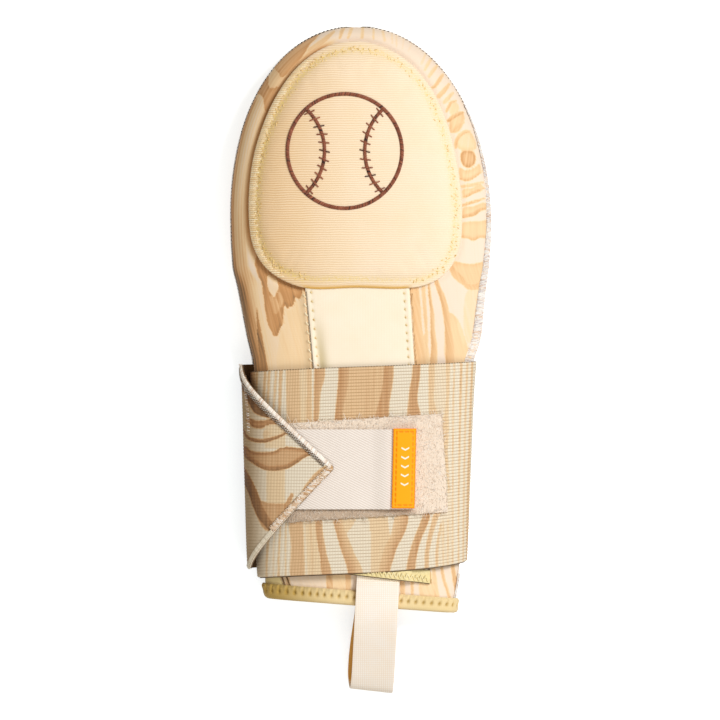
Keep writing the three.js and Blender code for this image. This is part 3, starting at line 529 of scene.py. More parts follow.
def nearest_area(areas, x, y):
    """The same for areas, whose tone goes from their edge to the inside over a few millimetres."""
    depth, tone = np.full(x.shape, -6.0), np.zeros(x.shape)
    for edge, inner, *outline in areas:
        # A four-sided area keeps its straight sides, and any other is rounded.
        straight = len(outline) == 4
        rim = spaced([*outline, outline[0]], 1.0) if straight else smooth_path(outline, 1.0, closed=True)
        near = close_by(rim, x, y, 6)
        px, py = x[near], y[near]
        gap = from_path(px, py, rim)
        inward = np.where(inside(px, py, rim[:-1]), gap, -gap)
        deeper = inward > depth[near]
        tone[near] = np.where(deeper, edge + (inner - edge) * ease(0, 2.5, inward), tone[near])
        depth[near] = np.maximum(depth[near], inward)
    return depth, tone


def drawn(areas, bands, x, y, across):
    """What the mesh carries of a drawing: depth and tone of areas and bands, and a place across the grain."""
    return {"area": np.stack([*nearest_area(areas, x, y), across], -1),
            "band": np.stack([*nearest_band(bands, x, y), across * 0], -1)}


def grown_grain(across, along, pitch):
    """The same for a grain that runs along, on the sides that the photograph doesn't show."""
    knots = 7 * np.exp(-((across - 12) / 16) ** 2 - ((along - 40) / 34) ** 2)
    knots = knots - 6 * np.exp(-((across + 22) / 13) ** 2 - ((along + 20) / 40) ** 2)
    wander = 3.1 * np.sin(along / 23 + across / 31) + 1.7 * np.sin(along / 11 - across / 19 + 1.3) + knots
    place = (across + wander) / pitch
    line = np.abs(place % 1 - 0.5)
    width = 0.13 + 0.09 * np.sin(across / 9 + along / 37)
    dark = (width - line) * pitch
    middle = (width + 0.15 + 0.1 * np.sin(across / 13) - line) * pitch
    return {"area": np.stack([middle, middle * 0 + 0.42, across], -1),
            "band": np.stack([dark, 0.62 + 0.2 * (place % 1), across * 0], -1)}


def normals(points):
    """Unit normals of a grid of points, turned to point away from the hand inside."""
    n = unit(np.cross(np.gradient(points, axis=0), np.gradient(points, axis=1)))
    hand = np.stack([points[..., 0] * 0, points[..., 1], 14 + points[..., 0] * 0], -1)
    out = np.sum(n * (points - hand), -1, keepdims=True)
    return np.where(np.sum(out) < 0, -n, n)


def carry(mesh, key, values):
    """Stores a number or a vector for each vertex of a mesh under a name."""
    values = np.asarray(values, np.float32)
    kind, field = ("FLOAT", "value") if values.size == len(mesh.vertices) else ("FLOAT_VECTOR", "vector")
    mesh.attributes.new(key, kind, "POINT").data.foreach_set(field, values.ravel())


def placed(name, data):
    """A new object in the scene."""
    made = bpy.data.objects.new(name, data)
    bpy.context.scene.collection.objects.link(made)
    return made


def make_object(name, vertices, faces, material, attributes=(), sharp=50):
    """A mesh object from millimetres, its doubles merged and its faces turned out."""
    mesh = bpy.data.meshes.new(name)
    mesh.from_pydata((np.asarray(vertices, float).reshape(-1, 3) * MM).tolist(), [], faces)
    for key, values in dict(attributes).items():
        carry(mesh, key, values)
    shape = bmesh.new()
    shape.from_mesh(mesh)
    bmesh.ops.remove_doubles(shape, verts=shape.verts, dist=2e-6)
    bmesh.ops.dissolve_degenerate(shape, edges=shape.edges, dist=1e-6)
    if shape.calc_volume(signed=True) < 0:
        bmesh.ops.reverse_faces(shape, faces=shape.faces)
    shape.to_mesh(mesh)
    shape.free()
    mesh.materials.append(material)
    mesh.shade_smooth()
    mesh.set_sharp_from_angle(angle=radians(sharp))
    return placed(name, mesh)


def slab(name, outer, inner, material, attributes=(), step=4, wrap=False):
    """A closed solid between two grids of points. The inner grid keeps every step-th row and column.

    wrap joins the last column to the first. Each attribute is a grid of values for the outer points, and the
    inner points take theirs from it.
    """
    rows, columns = outer.shape[:2]
    thin = inner[::step, ::step]
    low_rows, low_columns = thin.shape[:2]
    base = rows * columns
    across = columns if wrap else columns - 1
    low_across = low_columns if wrap else low_columns - 1

    def out(i, j):
        return i * columns + j % columns

    def low(i, j):
        return base + i * low_columns + j % low_columns

    faces = [(out(i, j), out(i, j + 1), out(i + 1, j + 1), out(i + 1, j))
             for i in range(rows - 1) for j in range(across)]
    faces += [(low(i, j), low(i + 1, j), low(i + 1, j + 1), low(i, j + 1))
              for i in range(low_rows - 1) for j in range(low_across)]
    for j in range(low_across):
        fine = range(step * j, step * j + step + 1)
        faces.append((*(out(0, k) for k in reversed(fine)), low(0, j), low(0, j + 1)))
        faces.append((*(out(rows - 1, k) for k in fine), low(low_rows - 1, j + 1), low(low_rows - 1, j)))
    if not wrap:
        for i in range(low_rows - 1):
            fine = range(step * i, step * i + step + 1)
            faces.append((*(out(k, 0) for k in fine), low(i + 1, 0), low(i, 0)))
            faces.append((*(out(k, columns - 1) for k in reversed(fine)), low(i, low_columns - 1),
                          low(i + 1, low_columns - 1)))
    count = low_rows * low_columns
    values = {key: np.concatenate([v.reshape(base, -1), v[::step, ::step].reshape(count, -1)])
              for key, v in dict(attributes).items()}
    values["lining"] = np.concatenate([np.zeros(base), np.ones(count)])
    points = np.concatenate([outer.reshape(-1, 3), thin.reshape(-1, 3)])
    return make_object(name, points, faces, material, values)


def even(count, step=4):
    """The nearest number of points that leaves whole steps between them."""
    return max(1, round((count - 1) / step)) * step + 1


def ready(made, replaces=()):
    """Lets a finished piece ride on the mitt, and hides the frame's parts that it replaces."""
    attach(made, "root")
    if replaces:
        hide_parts(*replaces)
    return made


def applied(made):
    """Turns what an object's modifiers make into its own plain mesh."""
    depsgraph = bpy.context.evaluated_depsgraph_get()
    mesh = bpy.data.meshes.new_from_object(made.evaluated_get(depsgraph))
    made.modifiers.clear()
    made.data = mesh
    return made


# The shader nodes by a plain word: Blender's kind, its inputs in order, its settings and its wanted output.
COLOUR_MIX = ("Factor_Float", "A_Color", "B_Color")
KINDS = {
    "sum": ("ShaderNodeMath", (0, 1), {}, None),
    "product": ("ShaderNodeMath", (0, 1), {"operation": "MULTIPLY"}, None),
    "scaled sum": ("ShaderNodeMath", (0, 1, 2), {"operation": "MULTIPLY_ADD"}, None),
    "larger": ("ShaderNodeMath", (0, 1), {"operation": "MAXIMUM"}, None),
    "sine": ("ShaderNodeMath", (0,), {"operation": "SINE"}, None),
    "number mix": ("ShaderNodeMix", ("Factor_Float", "A_Float", "B_Float"), {}, None),
    "mix": ("ShaderNodeMix", COLOUR_MIX, {"data_type": "RGBA"}, None),
    "stain": ("ShaderNodeMix", COLOUR_MIX, {"data_type": "RGBA", "blend_type": "MULTIPLY"}, None),
    "ramp": ("ShaderNodeValToRGB", (0,), {}, None),
    "range": ("ShaderNodeMapRange", ("Value", "From Min", "From Max", "To Min", "To Max"),
              {"interpolation_type": "SMOOTHSTEP"}, None),
    "clouds": ("ShaderNodeTexNoise", ("Vector", "Scale", "Detail"), {}, None),
    "axes": ("ShaderNodeSeparateXYZ", (0,), {}, "all"),
    "joined axes": ("ShaderNodeCombineXYZ", (0, 1, 2), {}, None),
    "carried": ("ShaderNodeAttribute", (), {}, "Fac"),
    "carried vector": ("ShaderNodeAttribute", (), {}, "Vector"),
}


def add(tree, kind, *values, stops=(), **settings):
    """Adds a node with its settings, sets or links its inputs, and gives the node or its wanted output.

    The inputs of a kind in the table are given in order, those of others in a dict by identifier or place.
    """
    kind, names, preset, result = KINDS.get(kind, (kind, (), {}, None))
    node = tree.nodes.new(kind)
    for key, value in {**preset, **settings}.items():
        setattr(node, key, value)
    for key, value in zip(names, values) if names else dict(*values).items():
        named = (s for s in node.inputs if s.identifier == key)
        socket = node.inputs[key] if isinstance(key, int) else next(named)
        if isinstance(value, bpy.types.Node):
            value = next(s for s in value.outputs if s.enabled)
        if isinstance(value, bpy.types.NodeSocket):
            tree.links.new(value, socket)
        else:
            socket.default_value = value
    if stops:
        ramp = node.color_ramp.elements
        while len(ramp) < len(stops):
            ramp.new(0.5)
        for element, (place, colour) in zip(ramp, stops):
            element.position, element.color = place, colour
    if result is None:
        return node
    return node.outputs if result == "all" else node.outputs[result]


def linear(colour):
    """Linear RGBA of an sRGB hex value."""
    parts = [int(colour.lstrip("#")[i:i + 2], 16) / 255 for i in (0, 2, 4)]
    return [p / 12.92 if p <= 0.04045 else ((p + 0.055) / 1.055) ** 2.4 for p in parts] + [1.0]


def new_material(name):
    material = bpy.data.materials.new(name)
    material.use_nodes = True
    material.node_tree.nodes.clear()
    return material, material.node_tree


def finished(material, colour, height, rough=0.85, sheen=0.25, distance=0.12, strength=0.6, specular=0.25):
    """Ends a material: its colour on a rough shader with some sheen, its height as a bump in millimetres."""
    tree = material.node_tree
    normal = add(tree, "ShaderNodeBump", {"Strength": strength, "Distance": distance * MM, "Height": height})
    shader = add(tree, "ShaderNodeBsdfPrincipled", {
        "Base Color": colour, "Roughness": rough, "Sheen Weight": sheen, "Specular IOR Level": specular,
        "Normal": normal,
    })
    add(tree, "ShaderNodeOutputMaterial", {"Surface": shader})
    return material


def place(tree):
    """Object coordinates in millimetres."""
    here = add(tree, "ShaderNodeTexCoord").outputs["Object"]
    return add(tree, "ShaderNodeVectorMath", {0: here, 3: 1000.0}, operation="SCALE")


def waves(tree, coordinate, pitch):
    """A smooth ripple from 0 to 1 along a coordinate in millimetres."""
    wave = add(tree, "sine", add(tree, "product", coordinate, 2 * pi / pitch))
    return add(tree, "scaled sum", wave, 0.5, 0.5)


def knit(tree, coordinates, wale, course):
    """Height of a knitted or woven face: fine columns wale apart that bead every course."""
    x, y, _ = add(tree, "axes", coordinates)
    return add(tree, "product", waves(tree, x, wale), waves(tree, y, course))


def grain_colour(tree, tones, lining, streaks):
    """Colour of the printed wood grain, from the areas and bands that the mesh carries.

    Dye spreads a little into the knit at each edge, and fine streaks run along the grain.
    """
    here = place(tree)
    depth, inner, across = add(tree, "axes", add(tree, "carried vector", attribute_name="area"))
    in_line, line_tone, least = add(tree, "axes", add(tree, "carried vector", attribute_name="band"))
    spread = add(tree, "scaled sum", add(tree, "clouds", here, 1 / 1.1, 3.0), 0.9, -0.45)
    in_area = add(tree, "range", add(tree, "sum", depth, spread), -0.6, 0.5, 0.0, 1.0)
    in_band = add(tree, "range", add(tree, "sum", in_line, spread), -0.5, 0.4, 0.0, 1.0)
    tone = add(tree, "number mix", in_band, add(tree, "product", in_area, inner), line_tone)
    # The least tone that the bands carry holds the left side's print streaks and its painted shade.
    tone = add(tree, "larger", tone, least)
    along = add(tree, "product", add(tree, "axes", here)[1], 0.03)
    grain = add(tree, "clouds", add(tree, "joined axes", across, along), 1 / 1.3, 2.0)
    swing = add(tree, "scaled sum", tone, streaks, streaks * 0.25)
    tone = add(tree, "scaled sum", add(tree, "sum", grain, -0.5), swing, tone)
    stops = [(k * 0.25, colour) for k, colour in enumerate(tones)]
    tint = add(tree, "ramp", add(tree, "product", tone, 1 / 1.2), stops=stops)
    return add(tree, "mix", add(tree, "carried", attribute_name="lining"), tint, lining)


def printed_cloth(tones, lining):
    # Printed jersey: dye in a fine knit gives flat matt tones with soft edges, and a faint fuzz takes light.
    material, tree = new_material("printed jersey")
    tint = grain_colour(tree, tones, lining, 0.6)
    return finished(material, tint, knit(tree, place(tree), 0.7, 0.9), sheen=0.12, distance=0.05)


def ribbed_elastic(tones, lining):
    # Woven elastic: ribs run along the strap with a dotted groove between them, where fine cords cross.
    # The grooves and the gaps between cords are darkened as painted shade, and so is the far left where it
    # bends.
    material, tree = new_material("woven ribbed elastic")
    run, ridge, _ = add(tree, "axes", add(tree, "carried vector", attribute_name="lie"))
    x = add(tree, "axes", place(tree))[0]
    cord = waves(tree, run, CORD)
    # Painted shade in the grooves between the ribs, less on the left.
    groove = add(tree, "range", ridge, 0.0, 0.6, 1.0, 0.0)
    shade = add(tree, "product", groove, add(tree, "scaled sum", cord, 0.62, 0.25))
    shade = add(tree, "product", shade, add(tree, "range", x, -45.0, -10.0, 0.5, 1.0))
    # Painted shade in the gaps between the cords, more on the left.
    cords = add(tree, "range", cord, 0.0, 0.7, 1.0, 0.0)
    cords = add(tree, "product", cords, add(tree, "range", x, -45.0, -10.0, 0.6, 0.35))
    # Painted shade on the strap's far left, where it bends under the flap.
    bend = add(tree, "range", x, -60.0, -43.0, 1.0, 0.0)
    tint = grain_colour(tree, tones, lining, 0.3)
    for share, deep in ((cords, "#B09A78"), (shade, "#A88A68"), (bend, "#C0AA8C")):
        tint = add(tree, "stain", share, tint, linear(deep))
    return finished(material, tint, cord, sheen=0.08, distance=0.1)


def plain_cloth(name, light, shade, wale, course, clouds=9.0, marked=None, pits=None, **finish):
    """A plain knitted or woven cloth; marked names an attribute of the mesh and the colour where it is 1.

    The pits between its threads are darkened as painted shade, by a share and a colour.
    """
    depth, deep = pits or (0.12, shade)
    material, tree = new_material(name)
    here = place(tree)
    face = knit(tree, here, wale, course)
    tint = add(tree, "mix", add(tree, "clouds", here, 1 / clouds, 3.0), linear(light), linear(shade))
    if marked:
        tint = add(tree, "mix", add(tree, "carried", attribute_name=marked[0]), tint, linear(marked[1]))
    # Painted shade in the pits between the threads.
    tint = add(tree, "stain", add(tree, "range", face, 0.0, 0.5, depth, 0.0), tint, linear(deep))
    return finished(material, tint, face, **finish)


def rib_knit():
    # Rib-knit polyester over foam: fine uneven courses run across the knuckles, with painted shade in their
    # grooves, strongest on the left, where the knit is also painted darker and yellower as shade. Ochre
    # bobbin thread shows in specks where the edge is sewn through; the ochre line at the turned-in edge is
    # painted shade of the fold.
    material, tree = new_material("rib-knit polyester")
    here = place(tree)
    x, y, _ = add(tree, "axes", here)
    sway = add(tree, "product", add(tree, "clouds", here, 1 / 9, 1.0), 0.9)
    rib = waves(tree, add(tree, "sum", y, sway), 1.15)
    tint = add(tree, "mix", add(tree, "clouds", here, 1 / 16, 3.0), linear("#FFEED9"), linear("#FAE6C6"))
    # Painted shade: the left side is darker and yellower.
    tint = add(tree, "stain", add(tree, "range", x, -56.0, 5.0, 0.5, 0.0), tint, linear("#EBCF9C"))
    # Painted shade in the grooves between the ribs, strongest on the left.
    dark = add(tree, "range", rib, 0.0, 0.6, 1.0, 0.0)
    dark = add(tree, "product", dark, add(tree, "range", x, -45.0, 40.0, 0.55, 0.1))
    tint = add(tree, "stain", dark, tint, linear("#DDBE84"))
    specks = add(tree, "range", add(tree, "clouds", here, 1 / 0.8, 2.0), 0.42, 0.6, 0.12, 0.95)
    specks = add(tree, "product", specks, add(tree, "carried", attribute_name="pierced"))
    tint = add(tree, "mix", specks, tint, linear("#F6DA8A"))
    # Painted shade: an ochre line along the turned-in lower edge.
    tint = add(tree, "mix", add(tree, "carried", attribute_name="turned"), tint, linear("#E0B15C"))
    fuzz = add(tree, "scaled sum", add(tree, "clouds", here, 1 / 0.4, 3.0), 0.5, rib)
    return finished(material, tint, fuzz, sheen=0.3, distance=0.16)


def twill():
    # Twill tape: diagonal ridges under a millimetre apart, from the stepped weave of a hook tape's back.
    material, tree = new_material("twill tape")
    here = place(tree)
    x, y, _ = add(tree, "axes", here)
    ridge = waves(tree, add(tree, "scaled sum", x, 0.51, y), 1.25)
    tint = add(tree, "mix", add(tree, "clouds", here, 1 / 11, 3.0), linear("#FAF5F2"), linear("#F4EEEA"))
    # Painted shade in the hollows between the ridges.
    tint = add(tree, "stain", add(tree, "scaled sum", ridge, -0.6, 0.6), tint, linear("#DACDC2"))
    return finished(material, tint, ridge, sheen=0.15, distance=0.14, strength=0.7)


def tag_rubber(orange):
    # Moulded rubber: an even satin face, with painted shade in the pressed dashed groove, and darker towards
    # its edges.
    material, tree = new_material("moulded satin rubber")
    tint = add(tree, "mix", add(tree, "carried", attribute_name="groove"), orange, linear("#F58600"))
    mark = add(tree, "range", add(tree, "carried", attribute_name="mark"), -0.05, 0.1, 0.0, 1.0)
    tint = add(tree, "mix", mark, tint, linear("#FFF8EC"))
    grit = add(tree, "clouds", place(tree), 1 / 0.5, 3.0)
    return finished(material, tint, grit, rough=0.55, sheen=0.0, distance=0.04, strength=0.25)


def thread_material(name, colours, rough):
    # Spun polyester thread: a slight gloss on each round strand, and no two strands quite the same tone.
    material, tree = new_material(name)
    last = max(1, len(colours) - 1)
    stops = [(k / last * 0.98, linear(colour)) for k, colour in enumerate(colours)]
    tone = add(tree, "ramp", add(tree, "carried", attribute_name="shade"), stops=stops)
    fibre = add(tree, "clouds", place(tree), 1 / 0.35, 3.0)
    tint = add(tree, "stain", add(tree, "range", fibre, 0.35, 0.75, 0.0, 0.15), tone, linear("#8A7250"))
    return finished(material, tint, fibre, rough, sheen=0.2, distance=0.05, strength=0.4, specular=0.35)


# Each thread's tones, among which its strands vary.
YARNS = {
    "cream polyester thread": ("#FCE8C0", "#FFF3D4", "#F6DDAA"),
    "ochre polyester thread": ("#F0D084", "#F9E2A8", "#DDB468"),
    "pale ochre polyester thread": ("#F3E3A6", "#FAEEC0", "#E9D592"),
    "brown polyester thread": ("#96553A", "#84462F", "#A8654A", "#3A1A14"),
    "black and white thread": ("#3A302A", "#FFFBF4"),
    "grey and white thread": ("#A2928A", "#FFFBF4"),
    "brown and white thread": ("#4A3A2E", "#F6EDDE", "#7A624A", "#5A4634", "#D9C9B0"),
    "dark seam and shadow thread": ("#5C4226", "#46301A", "#7A5C38"),
    "overlock thread": (
        "#FFFFFF", "#FFFFFF", "#FFFAF0", "#D9AE86", "#FFFFFF", "#FFFFFF", "#C4B4B4", "#FFFFFF",
    ),
    "brown fold shadow thread": ("#7C5C34", "#8E6E42"),
    "pale overlock yarn": ("#FBF0E6", "#FFFFFA", "#D8BCA6", "#FFFAF2", "#FFFFFF"),
    "tan and white yarn": ("#D8B28A", "#FFFAF2", "#B08A64", "#E8CCAA", "#FFFFFF", "#D2A676", "#F4E4D0"),
    "greyed cream yarn": ("#DCD2BE", "#EDE6D6", "#CFC4AE"),
    "loop nylon fibre": ("#FFF6EC", "#EFDCC8", "#FFFFFF", "#E4CCB4", "#FFF8EE", "#CBB9A6", "#EADCCC"),
}


def yarn(name, rough=0.55):
    """A thread's material by name, made on first use."""
    return bpy.data.materials.get(name) or thread_material(name, YARNS[name], rough)


def thread_tree():
    """The Geometry Nodes tree that makes every stitch and fibre.

    Each point of its mesh carries the vector along, from one end of a stitch to the other, and the vector
    out, to which it bows in the middle. The tree lays a round bowed strand on each.
    """
    tree = bpy.data.node_groups.new("Strands On Points", "GeometryNodeTree")
    tree.is_modifier = True
    face = tree.interface
    face.new_socket("Geometry", in_out="OUTPUT", socket_type="NodeSocketGeometry")
    for label, kind in (("Geometry", "Geometry"), ("Strand Radius", "Float"), ("Sides", "Int"),
                        ("Steps", "Int"), ("Strand Material", "Material")):
        face.new_socket(label, in_out="INPUT", socket_type=f"NodeSocket{kind}")
    given = add(tree, "NodeGroupInput").outputs
    along, out = (add(tree, "GeometryNodeInputNamedAttribute", {"Name": key}, data_type="FLOAT_VECTOR")
                  for key in ("along", "out"))
    length, rise = (add(tree, "ShaderNodeVectorMath", {0: way}, operation="LENGTH").outputs["Value"]
                    for way in (along, out))
    bow = add(tree, "GeometryNodeCurveQuadraticBezier", {
        "Resolution": given["Steps"], "Start": (-0.5, 0, 0), "Middle": (0, 0, 2), "End": (0.5, 0, 0),
    })
    turn = add(tree, "FunctionNodeAxesToRotation", {0: along, 1: out}, primary_axis="X", secondary_axis="Z")
    strands = add(tree, "GeometryNodeInstanceOnPoints", {
        "Points": given["Geometry"], "Instance": bow, "Rotation": turn,
        "Scale": add(tree, "joined axes", length, 1.0, rise),
    })
    paths = add(tree, "GeometryNodeRealizeInstances", {"Geometry": strands})
    ring = add(tree, "GeometryNodeCurvePrimitiveCircle", {
        "Resolution": given["Sides"], "Radius": given["Strand Radius"],
    })
    tubes = add(tree, "GeometryNodeCurveToMesh", {"Curve": paths, "Profile Curve": ring, "Fill Caps": True})
    solid = add(tree, "GeometryNodeRealizeInstances", {"Geometry": tubes})
    dressed = add(tree, "GeometryNodeSetMaterial", {"Geometry": solid, "Material": given["Strand Material"]})
    add(tree, "NodeGroupOutput", {0: dressed})
    return tree


def threads(name, starts, ends, bows, radius, material, shade=None, sides=5, steps=6):
    """Strands from starts to ends, which are bowed in the middle by the vectors bows."""
    starts, ends, bows = (np.asarray(v, float).reshape(-1, 3) for v in (starts, ends, bows))
    along = ends - starts
    bows = bows - along * (np.sum(bows * along, 1) / np.maximum(np.sum(along * along, 1), 1e-9))[:, None]
    mesh = bpy.data.meshes.new(name)
    mesh.from_pydata(((starts + ends) / 2 * MM).tolist(), [], [])
    if shade is None:
        shade = np.random.default_rng(len(starts)).random(len(starts))
    for key, values in (("along", along * MM), ("out", bows * MM), ("shade", shade)):
        carry(mesh, key, values)
    made = placed(name, mesh)
    tree = bpy.data.node_groups.get("Strands On Points") or thread_tree()
    nodes = made.modifiers.new("Strands", "NODES")
    nodes.node_group = tree
    names = {item.name: item.identifier for item in tree.interface.items_tree if item.in_out == "INPUT"}
    for label, value in (("Strand Radius", radius * MM), ("Sides", sides), ("Steps", steps),
                         ("Strand Material", material)):
        nodes[names[label]] = value
    applied(made)
    made.data.shade_smooth()
    return ready(made)


def seat(made):
    """A search tree over a piece's faces, for what is laid on it."""
    return bvhtree.BVHTree.FromObject(made, bpy.context.evaluated_depsgraph_get())


def dropped(tree, x, y, height=0.0):
    """Points over x and y on the surface below, raised by height, and the surface's normals there."""
    points, ups = [], []
    for px, py in zip(np.ravel(x), np.ravel(y)):
        hit, normal, _, _ = tree.ray_cast(Vector((px * MM, py * MM, 0.2)), Vector((0, 0, -1)))
        if hit is None:
            raise ValueError(f"nothing lies under {px:.1f}, {py:.1f}")
        points.append([c / MM for c in hit])
        ups.append(list(normal))
    points, ups = np.array(points), np.array(ups)
    return points + ups * height, ups


def offset_path(path, distance):
    """A plan path moved sideways by a distance, to the left of its direction."""
    return path[:, :2] + ways(path)[1] * distance


# Rows of the pocket's covers run from the hem to the fingertips, and past the widest place round the tip.
COVER = {"row": 0.8, "tip_rows": 160, "columns": 205, "palm_row": 2.0, "palm_columns": 101}
# How far the covers stop short of a seam, in half turns, the seams' lowest y, and where the relief fades.
SEAM_INSET = 0.0018
SEAM_BOTTOM = -119.0
RELIEF_FADES = (-117, -113), (162, 167)


def cover_rows(low, row, tip_rows):
    body_rows = np.linspace(low, WIDEST_Y, even(int((WIDEST_Y - low) / row)))
    degrees = np.radians(np.linspace(0, 90, even(tip_rows)))
    tip = WIDEST_Y + TIP_LENGTH * np.sin(degrees) ** (2 / ROUND["outline"])
    return np.concatenate([body_rows, tip[1:]])


def cover(name, start, end, rows, columns, relief, grain, material):
    """Half of the pocket: a padded cloth wall from the seam at start to the seam at end, with its relief."""
    s = np.linspace(0, 1, columns)[None, :]
    first, last = start(rows)[:, None] + SEAM_INSET, end(rows)[:, None] - SEAM_INSET
    s = first + (last - first) * s
    y = np.repeat(rows[:, None], columns, 1)
    outer = hemmed(s, y, grown(0))
    inner_y = np.where(y > WIDEST_Y, WIDEST_Y + (y - WIDEST_Y) * (1 - TIP_WALL / TIP_LENGTH), y)
    inner = hemmed(s, inner_y, wall_in(inner_y))
    fade = ease(*RELIEF_FADES[0], y) * (1 - ease(*RELIEF_FADES[1], y))
    height = relief(outer) * fade
    outer = outer + normals(outer) * height[..., None]
    return slab(name, outer, inner, material, grain(outer))


def ripples(x, y):
    """The slight unevenness of foam under cloth, about a quarter of a millimetre either way."""
    wide = 0.16 * np.sin(x / 7.3 + 0.9 * np.sin(y / 19)) * np.sin(y / 11.7 + 1.1)
    return wide + 0.09 * np.sin(x / 3.9 - y / 6.1)


def back_relief(points):
    x, y = points[..., 0], points[..., 1]
    outline = smooth_path(PAD_OUTLINE, 3.0, closed=True)
    to_pad = from_path(x, y, outline)
    across, along = run_length(points, 1), run_length(points, 0)
    right, left = across, across[:, -1:] - across
    sunk = 1.5 - 0.7 * ease(0, 40, x)
    height = ripples(x, y) - sunk * hump(to_pad, 0, 1.6) + 0.25 * hump(to_pad, 4.5, 2.5)
    for edge, pitch, reach in ((right, 3.3, 4.5), (left, 2.6, 4.0)):
        pucker = 0.5 + 0.5 * np.cos(2 * pi * along / pitch + 0.8 * np.sin(along / 9))
        height = height - 0.3 * pucker * hump(edge, 0, reach) + 0.15 * hump(edge, 5, 2)
    under = np.clip(height, -1, 0)
    left, right = panel_edges(y)
    end = PANEL_END["y"] + PANEL_END["slope"] * x
    beside = np.where((y < 38) & (y > end), np.maximum(np.maximum(left - x, x - right), 0), 99)
    height = height + (PANEL["thick"] + GAP - 0.35) * hump(beside, 0, 2.4)
    covered = (y < 38) & (y > end) & (x > left - 0.45) & (x < right + 0.45)
    return np.where(covered, under, height)


def palm_relief(points):
    x, y = points[..., 0], points[..., 1]
    across, along = run_length(points, 1), run_length(points, 0)
    side = ease(3, 8, points[..., 2])
    height = ripples(x, y) * side
    for edge in (across, across[:, -1:] - across):
        pucker = 0.5 + 0.5 * np.cos(2 * pi * along / 3.1)
        height = height - 0.3 * pucker * hump(edge, 0, 4) * side
    return height


def left_shade(x, y):
    """Least tone of the back's print down the left side: its fine streaks are print, and the rest is painted
    shade, darker towards the left silhouette, with a painted shadow beside the pad's left edge.
    """
    half, centre, *_ = section(y, grown(0))
    edge = x - centre + half
    upper = curve((30, 60, 100), (0.7, 0.4, 0.24), y) + 0.7 * hump(edge, 0, 1.7)
    lower = 1.15 - 0.95 * ease(0.2, 10.5, edge)
    low = ease(48, 34, y)
    streak = 0.15 * np.cos(2 * pi * edge / 1.35 + 0.6 * np.sin(y / 9)) * (1 - 0.5 * low)
    strip = (upper * (1 - low) + lower * low + streak) * (1 - ease(6.5 + 4 * low, 8.5 + 5 * low, edge))
    to_pad = from_path(x, y, smooth_path(PAD_OUTLINE, 3.0, closed=True))
    # Painted shadow of the pad on the cloth just outside its left and lower-left edge.
    painted_pad_shadow = 0.88 * hump(to_pad, 0, 2.4) * ease(-8, -22, x)
    shown = ease(136, 128, y)
    return np.maximum(np.maximum(strip * shown, painted_pad_shadow), 0.2 * ease(-28, -44, x) * low)


def back_grain(points):
    x, y = points[..., 0], points[..., 1]
    across = run_length(points, 1)
    grain = drawn(BACK_AREAS, BACK_BANDS, x, y, across[:, -1:] - across)
    grain["band"][..., 2] = left_shade(x, y)
    return grain


def palm_grain(points):
    x, y, z = (points[..., k] for k in range(3))
    return grown_grain(x + np.sign(x) * np.maximum(0, z - 2), y, 12.0)


def seam_line(turn, spacing):
    """Points of a side seam from the hem to the fingertips, an even distance apart, with their y."""
    y = cover_rows(SEAM_BOTTOM, COVER["row"], COVER["tip_rows"])[:-1]
    points = hemmed(turn(y), y, grown(0))
    return spaced(np.concatenate([points, y[:, None]], 1), spacing)


def overlock(name, turn, span, pitch, reach, slant, bow, radius, material, skip=(0, 0), twist=False):
    """Thread over a side seam: each stitch starts on the back, passes round the edge and ends on the palm.

    None are made between the two values of y in skip. twist makes the strands dark and light by turns.
    """
    line = seam_line(turn, pitch)
    y = line[:, 3]
    line = line[(y > span[0]) & (y < span[1]) & ~((y > skip[0]) & (y < skip[1]))]
    y, s = line[:, 3], turn(line[:, 3])
    step = 0.004
    sign = 1 if s.mean() < 0.5 else -1

    def past(way, length):
        moved = np.linalg.norm(hemmed(s + way * step, y, grown(0)) - hemmed(s, y, grown(0)), axis=1)
        return hemmed(s + way * np.minimum(length * step / np.maximum(moved, 1e-6), 0.12), y, grown(0.35))

    tangent = unit(np.gradient(line[:, :3], axis=0))
    up, down = past(sign, reach[0]) + tangent * slant, past(-sign, reach[1]) - tangent * slant
    out = hemmed(s, y, grown(0)) - (up + down) / 2
    size = np.linalg.norm(out, axis=1, keepdims=True)
    out = out / np.maximum(size, 1e-6) * (size + bow)
    shade = np.arange(len(y)) % 2 if twist else None
    return threads(name, up, down, out, radius, material, shade)


def pad_insets(rim, depths):
    """Rings inside a closed plan outline, each a set distance in from it."""
    inward = left_of(unit(np.roll(rim, -1, 0) - np.roll(rim, 1, 0)))
    return [rim + inward * d for d in depths]


def inside(x, y, outline):
    """Which points lie inside a closed plan outline."""
    hit = np.zeros(np.shape(x), bool)
    for (ax, ay), (bx, by) in zip(outline, np.roll(outline, -1, 0)):
        crosses = (ay > y) != (by > y)
        hit ^= crosses & (x < (bx - ax) * (y - ay) / (by - ay + 1e-12) + ax)
    return hit


